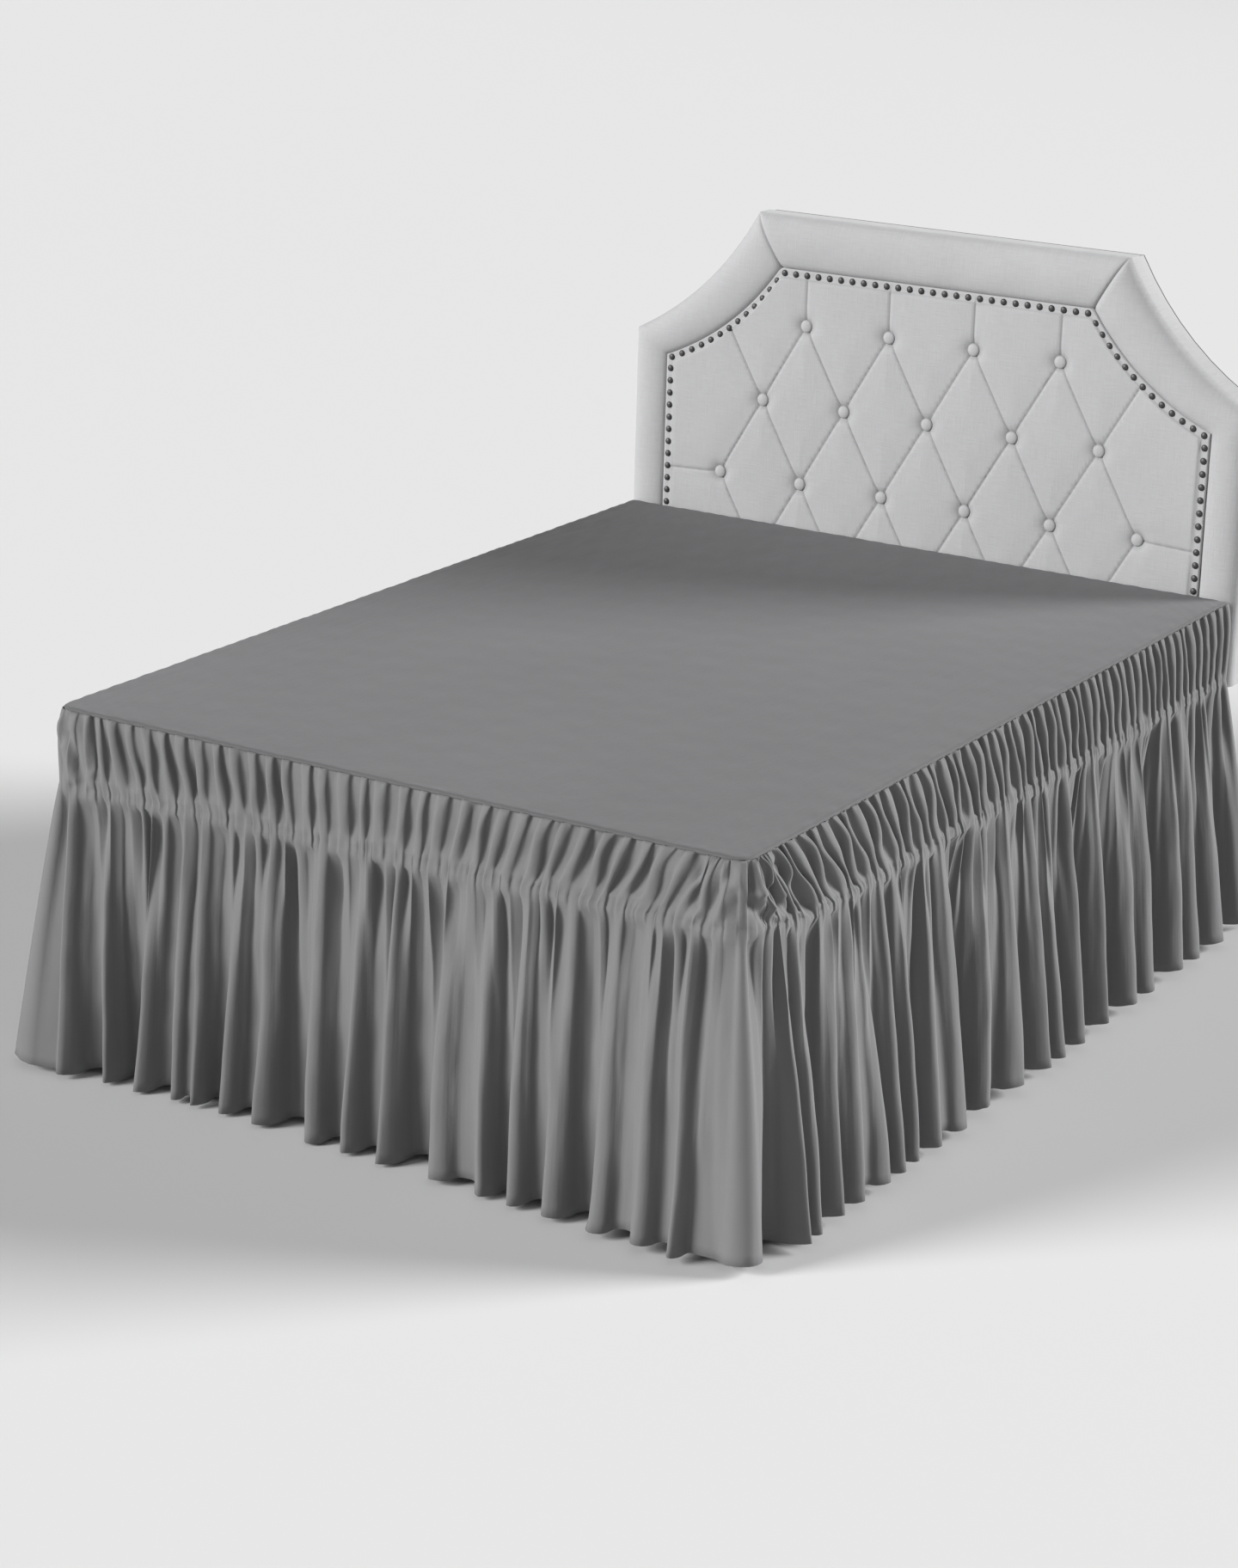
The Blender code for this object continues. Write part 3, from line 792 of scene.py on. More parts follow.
    def swayed(self, place: np.ndarray, levels: np.ndarray, places: np.ndarray,
               out: np.ndarray) -> tuple[np.ndarray, np.ndarray]:
        """Adds the drop's slow sway and its wrinkles.

        Args:
            place: The columns' places at the shirred line.
            levels: A column of levels, 0 at the shirred line and 1 at the hem.
            places: The points' places along the side.
            out: The points' distances out.

        Returns:
            The new places and distances.
        """
        salt = self.side.salt
        sway = levels * (1.0 - self.sway_held * levels) * self.calm(place, self.end_reach)
        along = ripple(place * 5.0, levels * 0.9, salt + Draw.SWAY_ALONG)
        outwards = ripple(place * 9.0, levels * 1.1, salt + Draw.SWAY_OUT)
        wrinkled = smooth_step(0.0, self.wrinkle_start, levels) * (1.0 - self.wrinkle_held * levels)
        wrinkles = self.drop_wrinkle * self.wrinkles(place, levels, Draw.DROP_WRINKLES) * wrinkled
        return places + self.sway_along * sway * along, out + self.sway_out * sway * outwards + wrinkles

    def at_hem(self, folds: Waves, levels: np.ndarray, out: np.ndarray, heights: np.ndarray,
               calm: np.ndarray) -> tuple[np.ndarray, np.ndarray]:
        """Lifts the hem towards its valleys, and curls it where the side's table says.

        Args:
            folds: The columns' fold waves.
            levels: A column of levels, 0 at the shirred line and 1 at the hem.
            out: The points' distances out.
            heights: The points' heights.
            calm: 0 at the cloth's ends and 1 inside them.

        Returns:
            The new distances and heights.
        """
        waver = self.hem_waver * ripple(folds.place * 4.0, 0.0 * levels, self.side.salt)
        lift = self.hem_lift * folds.depth(self.lift_crest) + waver - self.hem_waver
        heights = heights + lift * calm * levels**self.lift_growth
        for middle, size in self.side.curls:
            near = np.exp(-(((folds.place - middle) / self.curl_reach) ** 2))
            curl = size * near * smooth_step(self.curl_start, 1.0, levels)
            out, heights = out + curl, heights + self.curl_lift * curl
        return out, heights

    def around_corner(self, place: np.ndarray, out: np.ndarray) -> tuple[np.ndarray, np.ndarray]:
        """Bends the cloth round the corners, and keeps it on its own side of each corner's diagonal.

        Args:
            place: Places along the side.
            out: Distances out from the deck's edge.

        Returns:
            The bent places and distances.
        """
        straight_half = self.side.half - self.corner_radius
        has_corner = np.where(place > 0.0, self.side.corner_end, self.side.corner_start)
        angle = np.where(has_corner, np.maximum(np.abs(place) - straight_half, 0.0), 0.0) / self.corner_radius
        reach = self.corner_radius + out
        bent_place = np.sign(place) * (straight_half + reach * np.sin(angle))
        bent_out = reach * np.cos(angle) - self.corner_radius
        past = np.abs(bent_place) - self.side.half - bent_out
        bent_place = np.where(past > 0.0, bent_place - np.sign(place) * past, bent_place)
        return np.where(angle > 0.0, bent_place, place), np.where(angle > 0.0, bent_out, out)

    def points(self, numbers: np.ndarray) -> np.ndarray:
        """Returns the cloth's points at some gather numbers, row by row from the seam to the hem."""
        heading_levels = np.linspace(0.0, 1.0, self.heading_rows + 1)[:, None]
        drop_levels = (np.linspace(0.0, 1.0, self.drop_rows + 1)[1:] ** self.crowding)[:, None]
        upper = self.heading_part(numbers, heading_levels)
        lower = self.drop_part(numbers, drop_levels)
        place, out, height = (np.vstack(pair) for pair in zip(upper, lower))
        place, out = self.around_corner(place, out)
        along, outward = np.array(self.side.along), np.array(self.side.outward)
        flat = place[..., None] * along + (self.side.reach + out)[..., None] * outward
        flat[..., 2] = height
        return flat


@dataclass(frozen=True)
class Run:
    """A stretch of one side's cloth, between two gather numbers."""

    drape: SideDrape
    first: float
    last: float


@dataclass(frozen=True)
class SkirtPanel:
    """One gathered panel of the skirt, cut from one cloth: its runs follow each other along the bed."""

    name: str
    runs: tuple[Run, ...]
    columns_per_gather: int = 12
    thickness: float = 0.0014

    def points(self) -> np.ndarray:
        """Returns the panel's points, row by row from the seam to the hem."""
        stretches = []
        for run in self.runs:
            steps = round((run.last - run.first) * self.columns_per_gather)
            points = run.drape.points(np.linspace(run.first, run.last, steps + 1))
            stretches.append(points[:, 1:] if stretches else points)
        return np.concatenate(stretches, axis=1)

    def flat_size(self) -> tuple[float, float]:
        """Returns the cut's width and length: the gathered width times the fullness, and the drop."""
        gathered = sum((run.last - run.first) * run.drape.pitch for run in self.runs)
        drape = self.runs[0].drape
        return gathered * drape.fullness, drape.deck_top - drape.seam_drop - drape.hem_clearance

    def build(self, cloth: bpy.types.Material) -> bpy.types.Object:
        """Makes the panel.

        Args:
            cloth: The panel's material.

        Returns:
            The finished sheet.
        """
        points = self.points()
        rows, columns = points.shape[0] - 1, points.shape[1] - 1
        sheet = bmesh.new()
        sheet.loops.layers.uv.new("cloth")
        bmesh.ops.create_grid(sheet, x_segments=columns, y_segments=rows, size=1.0, calc_uvs=True)
        mesh = mesh_of(sheet, f"{self.name}_cloth")
        grid = np.empty(len(mesh.vertices) * 3)
        mesh.vertices.foreach_get("co", grid)
        grid = grid.reshape(-1, 3)
        column = np.rint((grid[:, 0] + 1.0) / 2.0 * columns).astype(int)
        row = np.rint((1.0 - grid[:, 1]) / 2.0 * rows).astype(int)
        mesh.vertices.foreach_set("co", points[row, column].ravel())
        width, length = self.flat_size()
        scale_uv(mesh, width, length)
        panel = add_piece(mesh.name, mesh, cloth)
        thicken(panel, self.thickness)
        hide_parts(self.name)
        return panel


def mesh_of(shape: bmesh.types.BMesh, name: str) -> bpy.types.Mesh:
    """Returns the shape as a named mesh, and frees the shape."""
    mesh = bpy.data.meshes.new(name)
    shape.to_mesh(mesh)
    shape.free()
    return mesh


def scale_uv(mesh: bpy.types.Mesh, width: float, length: float) -> None:
    """Stretches the mesh's UV map from the unit square to metres of cloth."""
    layer = mesh.uv_layers[0]
    places = np.empty(len(layer.uv) * 2, np.float32)
    layer.uv.foreach_get("vector", places)
    places = places.reshape(-1, 2) * np.array((width, length), np.float32)
    layer.uv.foreach_set("vector", places.ravel())


def add_piece(name: str, mesh: bpy.types.Mesh, finish: bpy.types.Material) -> bpy.types.Object:
    """Puts a mesh in the scene as a smooth piece that rides on the bed.

    Args:
        name: The piece's name.
        mesh: Its mesh, in the row frame.
        finish: Its material.

    Returns:
        The piece.
    """
    mesh.shade_smooth()
    mesh.materials.append(finish)
    piece = bpy.data.objects.new(name, mesh)
    bpy.context.scene.collection.objects.link(piece)
    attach(piece, BODY)
    return piece


def thicken(piece: bpy.types.Object, thickness: float) -> None:
    """Gives a sheet its thickness, inwards from its outer face."""
    shell = piece.modifiers.new("cloth thickness", "SOLIDIFY")
    shell.thickness = thickness
    shell.offset = -1.0
    shell.use_even_offset = False


@dataclass
class DeckPanel:
    """The cloth deck: a flat sheet with a rolled edge, lightly drawn up along its seams."""

    half_width: float
    half_length: float
    top: float
    corner_radius: float = 0.030
    roll: float = 0.007
    roll_drop: float = 0.0032
    lip: float = 0.003
    thickness: float = 0.0014
    columns: int = 176
    rows: int = 236
    drawn: float = 0.0009
    drawn_at: float = 0.016
    pucker: float = 0.0005
    pucker_reach: float = 0.02
    slack: float = 0.0007
    lowered: float = 0.0008

    def spread(self, steps: int, half: float) -> np.ndarray:
        """Returns places from one edge to the other, closer together beside both edges."""
        share = np.linspace(-1.0, 1.0, steps + 1)
        crowded = np.sin(share * math.pi / 2.0)
        return half * (0.35 * share + 0.65 * crowded)

    def edge_distance(self, x: np.ndarray, y: np.ndarray) -> np.ndarray:
        """Returns how far inside the outline each point lies, with round corners at the foot end."""
        radius = self.corner_radius
        side_in = np.abs(x) - (self.half_width - radius)
        foot_in = -y - (self.half_length - radius)
        rounded = radius - np.hypot(np.maximum(side_in, 0.0), np.maximum(foot_in, 0.0))
        return np.minimum(rounded, self.half_length - y)

    def heights(self, x: np.ndarray, y: np.ndarray) -> np.ndarray:
        """Returns the sheet's height at each point.

        Args:
            x: Places across the bed.
            y: Places along the bed.

        Returns:
            The heights.
        """
        inside = np.maximum(self.edge_distance(x, y), 0.0)
        turned = np.clip(1.0 - inside / self.roll, 0.0, 1.0)
        rolled = self.roll_drop * (1.0 - np.sqrt(np.maximum(1.0 - turned**2, 0.0)))
        drawn = self.drawn * np.exp(-((inside - self.drawn_at) ** 2) / 0.0003) * ripple(x * 9.0, y * 9.0, 2.0)
        stitches = np.sin(170.0 * (x + y) + 3.0 * np.sin(9.0 * (x - y)))
        puckers = self.pucker * np.exp(-inside / self.pucker_reach) * stitches
        slack = self.slack * ripple(x * 1.6, y * 1.3, 4.0) * smooth_step(0.02, 0.25, inside)
        return self.top - rolled + (drawn + puckers) * (turned < 1.0) + slack - self.lowered

    def build(self, cloth: bpy.types.Material) -> bpy.types.Object:
        """Makes the deck.

        Args:
            cloth: The deck's material.

        Returns:
            The finished sheet.
        """
        across, length = self.spread(self.columns, 1.0), self.spread(self.rows, self.half_length)
        sheet = bmesh.new()
        sheet.loops.layers.uv.new("cloth")
        bmesh.ops.create_grid(sheet, x_segments=self.columns, y_segments=self.rows, size=1.0, calc_uvs=True)
        for vertex in sheet.verts:
            column = round((vertex.co.x + 1.0) / 2.0 * self.columns)
            row = round((vertex.co.y + 1.0) / 2.0 * self.rows)
            y = length[row]
            into_corner = max(-y - (self.half_length - self.corner_radius), 0.0)
            bow = math.sqrt(max(self.corner_radius**2 - into_corner**2, 0.0))
            half = self.half_width - self.corner_radius + bow
            vertex.co = (across[column] * half, y, 0.0)
        rim = [edge for edge in sheet.edges if edge.is_boundary]
        heights = self.heights(*np.array([vertex.co[:2] for vertex in sheet.verts]).T)
        for vertex, height in zip(sheet.verts, heights):
            vertex.co.z = height
        lip = bmesh.ops.extrude_edge_only(sheet, edges=rim)["geom"]
        lowered = [item for item in lip if isinstance(item, bmesh.types.BMVert)]
        bmesh.ops.translate(sheet, vec=(0.0, 0.0, -self.lip), verts=lowered)
        bmesh.ops.recalc_face_normals(sheet, faces=sheet.faces)
        mesh = mesh_of(sheet, "deck_panel_cloth")
        width, depth = 2.0 * self.half_width, 2.0 * self.half_length
        scale_uv(mesh, width, depth)
        panel = add_piece(mesh.name, mesh, cloth)
        thicken(panel, self.thickness)
        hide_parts("deck_panel")
        return panel


@dataclass(frozen=True)
class BoardLine:
    """Half of a headboard line: its side, its shoulder and its top corner."""

    half: float
    shoulder: float
    corner_x: float
    top: float
    cove_sag: float = 0.075

    def corner_shares(self, first: float) -> tuple[float, ...]:
        """Returns the extra shares of the way at which a line has points close to its corner."""
        return (first, (2.0 + first) / 3.0, (5.0 + first) / 6.0)

    def points(self, bottom: float, side_steps: int, cove_steps: int, top_steps: int) -> list[Vector]:
        """Traces the line from bottom right over the top to bottom left.

        Args:
            bottom: The height that it starts from.
            side_steps: Steps up each straight side.
            cove_steps: Steps along each cove.
            top_steps: Steps along the straight top.

        Returns:
            The points, with X across and Y up.
        """
        right = [Vector((self.half, bottom + (self.shoulder - bottom) * step / side_steps))
                 for step in range(side_steps)]
        start, end = Vector((self.half, self.shoulder)), Vector((self.corner_x, self.top))
        chord = end - start
        inward = Vector((-abs(chord.y), -abs(chord.x))).normalized()
        for share in [step / cove_steps for step in range(cove_steps)] + list(self.corner_shares(0.98)):
            sag = 4.0 * self.cove_sag * chord.length * share * (1.0 - share)
            right.append(start + chord * share + inward * sag)
        shares = [0.0, *(1.0 - share for share in reversed(self.corner_shares(0.99)))]
        shares += [step / top_steps for step in range(1, top_steps)] + [*self.corner_shares(0.99), 1.0]
        top = [Vector((self.corner_x * (1.0 - 2.0 * share), self.top)) for share in shares]
        left = [Vector((-point.x, point.y)) for point in reversed(right)]
        return right + top + left


@dataclass
class Headboard:
    """The padded headboard: border, tufted panel, buttons and a line of nails."""

    front: float
    bottom: float
    thickness: float = 0.064
    outer: BoardLine = BoardLine(0.700, 1.029, 0.416, 1.304)
    inner: BoardLine = BoardLine(0.618, 0.983, 0.352, 1.197)
    row_heights: tuple[float, ...] = (1.082, 0.915, 0.748, 0.581)
    row_counts: tuple[int, ...] = (4, 5, 6, 5)
    button_pitch: float = 0.192
    button_radius: float = 0.0138
    button_depth: float = 0.009
    panel_back: float = 0.004
    border_back: float = 0.0012
    front_depth: float = 0.02
    panel_columns: int = 190
    panel_rows: int = 104
    crease_depth: float = 0.0024
    crease_width: float = 0.0024
    hollow_depth: float = 0.0026
    hollow_width: float = 0.034
    dimple_width: float = 0.019
    # Painted shade: the widths and strength of the darkening in the creases, along the welt and about the
    # buttons.
    crease_shade_width: float = 0.0016
    welt_width: float = 0.0022
    welt_shade_strength: float = 0.55
    button_shade_width: float = 0.0180
    crease_half: float = 0.003
    strip_width: float = 0.019
    strip_depth: float = 0.0035
    crown: float = 0.012
    nail_pitch: float = 0.0262
    nail_radius: float = 0.0070
    nail_inset: float = 0.0095

    def buttons(self) -> list[Vector]:
        """Returns the buttons' centres, row by row from the top, with X across and Y up."""
        found = []
        for height, count in zip(self.row_heights, self.row_counts):
            for number in range(count):
                found.append(Vector(((number - (count - 1) / 2.0) * self.button_pitch, height)))
        return found

    def creases(self) -> list[tuple[Vector, Vector]]:
        """Returns the creases: between neighbours in two rows, and out to the nails from the outer buttons."""
        buttons = self.buttons()
        found = []
        for first in buttons:
            for second in buttons:
                across, up = abs(first.x - second.x), first.y - second.y
                if 0.0 < up < 0.2 and across < 0.6 * self.button_pitch:
                    found.append((first, second))
        for button in buttons[:self.row_counts[0]]:
            found.append((button, Vector((button.x, self.inner.top))))
        second = self.row_counts[0]
        for button in (buttons[second], buttons[second + self.row_counts[1] - 1]):
            step = Vector((math.copysign(self.button_pitch / 2.0, button.x), buttons[0].y - button.y))
            found.append((button, button + 0.9 * step))
        third = sum(self.row_counts[:2])
        for button in (buttons[third], buttons[third + self.row_counts[2] - 1]):
            found.append((button, Vector((math.copysign(self.inner.half, button.x), button.y - 0.006))))
        return found

    def panel_height(self, x: float) -> float:
        """Returns how high the tufted panel reaches at a place across."""
        if abs(x) <= self.inner.corner_x:
            return self.inner.top
        cove = [point for point in self.inner.points(self.bottom, 1, 24, 1) if point.x > 0.0][1:]
        places = [point.x for point in reversed(cove)]
        heights = [point.y for point in reversed(cove)]
        return float(np.interp(abs(x), places, heights))

    def crease_gap(self, x: np.ndarray, z: np.ndarray) -> np.ndarray:
        """Returns how far each point of the tufted panel lies from the nearest crease.

        Args:
            x: Places across.
            z: Heights.

        Returns:
            The distances.
        """
        near = np.full(x.shape, 1.0)
        for start, end in self.creases():
            run = end - start
            share = ((x - start.x) * run.x + (z - start.y) * run.y) / run.length_squared
            share = np.clip(share, 0.0, 1.0)
            near = np.minimum(near, np.hypot(x - start.x - share * run.x, z - start.y - share * run.y))
        return near

    def relief(self, x: np.ndarray, z: np.ndarray) -> np.ndarray:
        """Returns how far the tufted panel stands out at each point, 0 at its crown and less in its creases.

        Args:
            x: Places across.
            z: Heights.

        Returns:
            The relief in metres.
        """
        near = self.crease_gap(x, z)
        relief = -self.crease_depth * np.exp(-((near / self.crease_width) ** 2))
        relief = relief - self.hollow_depth * np.exp(-((near / self.hollow_width) ** 2))
        for button in self.buttons():
            away = np.hypot(x - button.x, z - button.y)
            relief = relief - self.button_depth * np.exp(-((away / self.dimple_width) ** 2))
        return relief

    def cut_creases(self, sheet: bmesh.types.BMesh) -> None:
        """Cuts the sheet along each crease and a little to both sides of it, so that each has its own edges."""
        cuts = set()
        for start, end in self.creases():
            run = (end - start).normalized()
            across = Vector((-run.y, run.x)) * (1.0 if run.x >= 0.0 else -1.0)
            middle = start.dot(across)
            for offset in (-self.crease_half, 0.0, self.crease_half):
                cuts.add((round(across.x, 5), round(across.y, 5), round(middle + offset, 5)))
        for across_x, across_z, offset in sorted(cuts):
            geometry = [*sheet.verts, *sheet.edges, *sheet.faces]
            place = (across_x * offset, 0.0, across_z * offset)
            bmesh.ops.bisect_plane(sheet, geom=geometry, dist=1e-5, plane_co=place,
                                   plane_no=(across_x, 0.0, across_z))

    def panel_mesh(self) -> bpy.types.Mesh:
        """Returns the tufted panel's mesh: a grid cut to the nails' line, pressed in along its creases."""
        sheet = bmesh.new()
        bmesh.ops.create_grid(sheet, x_segments=self.panel_columns, y_segments=self.panel_rows, size=1.0)
        half = self.inner.half - GAP
        for vertex in sheet.verts:
            x = (0.6 * vertex.co.x + 0.4 * math.sin(vertex.co.x * math.pi / 2.0)) * half
            top = self.panel_height(x) - GAP
            share = (vertex.co.y + 1.0) / 2.0
            share = 0.5 * share + 0.5 * math.sin(share * math.pi / 2.0)
            vertex.co = (x, 0.0, self.bottom + (top - self.bottom) * share)
        self.cut_creases(sheet)
        x, _, z = np.array([vertex.co for vertex in sheet.verts]).T
        relief = self.relief(x, z)
        top = np.array([self.panel_height(place) for place in x])
        inside = np.minimum(half - np.abs(x), top - z)
        raised = smooth_step(self.strip_width - 0.003, self.strip_width + 0.003, inside)
        strip = self.strip_depth * (1.0 - raised)
        for vertex, out, sunk in zip(sheet.verts, relief, strip):
            vertex.co.y = self.front + self.panel_back + max(-out, 0.0) * (sunk < 0.001) + sunk
        # Painted shade: the creases, the rings about the buttons and the welt are stored in the painted-shade
        # attribute.
        shade_layer = sheet.verts.layers.float.new(PAINTED_SHADE_ATTRIBUTE)
        for vertex, share in zip(sheet.verts, self.painted_shade_marks(x, z, inside)):
            vertex[shade_layer] = float(share)
        rim = [edge for edge in sheet.edges if edge.is_boundary]
        walls = bmesh.ops.extrude_edge_only(sheet, edges=rim)["geom"]
        back = self.front + self.thickness
        for vertex in (item for item in walls if isinstance(item, bmesh.types.BMVert)):
            vertex.co.y = back
        bmesh.ops.holes_fill(sheet, edges=[edge for edge in sheet.edges if edge.is_boundary])
        bmesh.ops.recalc_face_normals(sheet, faces=sheet.faces)
        return mesh_of(sheet, "headboard_tufted_panel")

    def painted_shade_marks(self, x: np.ndarray, z: np.ndarray, inside: np.ndarray) -> np.ndarray:
        """Works out where shade is painted on the linen: in the creases, about the buttons and along the strip's
        welt.

        Args:
            x: Places across.
            z: Heights.
            inside: How far inside the panel's rim each point lies.

        Returns:
            The painted shade, from 0 to 1.
        """
        shades = np.exp(-((self.crease_gap(x, z) / self.crease_shade_width) ** 2))
        shades = shades * smooth_step(0.0, self.strip_width, inside)
        welt_shade = self.welt_shade_strength * np.exp(-(((inside - self.strip_width) / self.welt_width) ** 2))
        shades = np.maximum(shades, welt_shade)
        for button in self.buttons():
            away = np.hypot(x - button.x, z - button.y)
            shades = np.maximum(shades, np.exp(-((away / self.button_shade_width) ** 6)))
        return shades

    def border_profile(self) -> list[tuple[float, float]]:
        """Returns the border's section: shares from inner to outer line, and depths from the front."""
        profile = [(0.0, self.crown + 0.012)]
        steps = 18
        for step in range(steps + 1):
            share = step / steps
            swell = math.sin(math.pi * share**0.85) ** 0.62
            profile.append((0.004 + 0.992 * share, self.crown * (1.0 - swell) * (1.0 + 0.9 * share**3)))
        profile += [(1.0, 0.034), (1.0, self.thickness)]
        return profile

    def border_mesh(self) -> bpy.types.Mesh:
        """Returns the border's mesh: its section swept round the board, seamed at each top corner."""
        steps = {"side_steps": 16, "cove_steps": 22, "top_steps": 44}
        outer = self.outer.points(self.bottom, **steps)
        inner = self.inner.points(self.bottom, **steps)
        corners = (Vector((self.outer.corner_x, self.outer.top)), Vector((-self.outer.corner_x, self.outer.top)))
        profile = self.border_profile()
        shape = bmesh.new()
        bmesh.ops.create_grid(shape, x_segments=len(outer) - 1, y_segments=len(profile) - 1, size=1.0)
        for vertex in shape.verts:
            number = round((vertex.co.x + 1.0) / 2.0 * (len(outer) - 1))
            share, depth = profile[round((vertex.co.y + 1.0) / 2.0 * (len(profile) - 1))]
            seam = min((outer[number] - corner).length for corner in corners)
            pinch = 0.0045 * math.exp(-((seam / 0.0030) ** 2)) + 0.001 * math.exp(-seam / 0.02)
            flat = inner[number].lerp(outer[number], share)
            wobble = 0.0009 * float(ripple(np.array(flat.x * 7.0), np.array(flat.y * 7.0), 6.0))
            sunk = depth + (pinch + wobble) * (depth < self.front_depth)
            vertex.co = (flat.x, self.front + self.border_back + sunk, flat.y)
        bmesh.ops.recalc_face_normals(shape, faces=shape.faces)
        return mesh_of(shape, "headboard_padded_border")

    def button_mesh(self) -> bpy.types.Mesh:
        """Returns all the covered buttons as one mesh."""
        shape = bmesh.new()
        shade_layer = shape.verts.layers.float.new(PAINTED_SHADE_ATTRIBUTE)
        for button in self.buttons():
            made = bmesh.ops.create_uvsphere(shape, u_segments=24, v_segments=16, radius=self.button_radius)
            # Painted shade: each button's rim gets the painted-shade attribute, darkening it where it sinks into
            # the panel.
            for vertex in made["verts"]:
                rim = math.hypot(vertex.co.x, vertex.co.z) / self.button_radius
                vertex[shade_layer] = float(smooth_step(0.78, 0.98, np.array(rim)))
            bmesh.ops.scale(shape, vec=(1.0, 0.42, 1.0), verts=made["verts"])
            place = (button.x, self.front + self.panel_back + 0.0090, button.y)
            bmesh.ops.translate(shape, vec=place, verts=made["verts"])
        return mesh_of(shape, "headboard_covered_buttons")

    def nail_places(self) -> list[Vector]:
        """Returns the nails' centres, evenly spaced along the middle of the strip."""
        inset, inner = self.nail_inset, self.inner
        middle = BoardLine(inner.half - inset, inner.shoulder - 0.6 * inset,
                           inner.corner_x - 0.6 * inset, inner.top - inset)
        line = middle.points(self.bottom, 30, 40, 60)
        lengths = [0.0]
        for before, after in zip(line, line[1:]):
            lengths.append(lengths[-1] + (after - before).length)
        count = round(lengths[-1] / self.nail_pitch)
        along = np.linspace(0.0, lengths[-1], count + 1)
        xs = np.interp(along, lengths, [point.x for point in line])
        zs = np.interp(along, lengths, [point.y for point in line])
        return [Vector((float(x), float(z))) for x, z in zip(xs, zs)]

    def nail_mesh(self) -> bpy.types.Mesh:
        """Returns all the domed nail heads as one mesh."""
        shape = bmesh.new()
        for nail in self.nail_places():
            made = bmesh.ops.create_uvsphere(shape, u_segments=12, v_segments=8, radius=self.nail_radius)
            bmesh.ops.scale(shape, vec=(1.0, 0.55, 1.0), verts=made["verts"])
            place = (nail.x, self.front + self.panel_back + self.strip_depth, nail.y)
            bmesh.ops.translate(shape, vec=place, verts=made["verts"])
        return mesh_of(shape, "headboard_nail_heads")

    def build(self, linen: bpy.types.Material, metal: bpy.types.Material) -> None:
        """Makes the headboard's pieces.

        Args:
            linen: The upholstery's material.
            metal: The nails' material.
        """
        border = add_piece("headboard_padded_border", self.border_mesh(), linen)
        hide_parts("headboard_border")
        panel = add_piece("headboard_tufted_panel", self.panel_mesh(), linen)
        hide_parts("headboard_panel")
        buttons = add_piece("headboard_covered_buttons", self.button_mesh(), linen)
        nails = add_piece("headboard_nail_heads", self.nail_mesh(), metal)


@dataclass(frozen=True)
class BedBase:
    """The bed's own hard pieces, which keep the solids' shapes and get their finishes here."""

    ticking: tuple[str, ...] = ("box_base",)
    board: tuple[str, ...] = ("headboard_back", "headboard_strut_left", "headboard_strut_right")
    fold_over: float = 0.004
    steel: tuple[str, ...] = ("rail_", "leg_", "headboard_plate_")

    def dress(self) -> None:
        """Gives each kept solid its finish."""
        back = max(corner[1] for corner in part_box("headboard_back"))
        board = StainedBoard(covered=back - self.fold_over).make()
        finishes = ((self.ticking, Ticking().make()), (self.board, board),
                    (self.steel, PaintedSteel().make()))
        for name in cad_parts:
            for starts, finish in finishes:
                if name.startswith(starts):
                    node = bpy.data.objects[name]
                    for slot in node.material_slots:
                        slot.material = finish


@dataclass(frozen=True)
class Lamp:
    """One far, soft studio light: where it stands as seen from the bed, its strength and its angle across."""

    name: str
    towards: Point
    strength: float
    softness: float

    def add(self) -> None:
        """Adds the light to the scene."""
        sun = bpy.data.lights.new(self.name, "SUN")
        sun.energy = self.strength
        sun.angle = self.softness
        light = bpy.data.objects.new(self.name, sun)
        light.rotation_euler = Vector(self.towards).to_track_quat("Z", "Y").to_euler()
        bpy.context.scene.collection.objects.link(light)


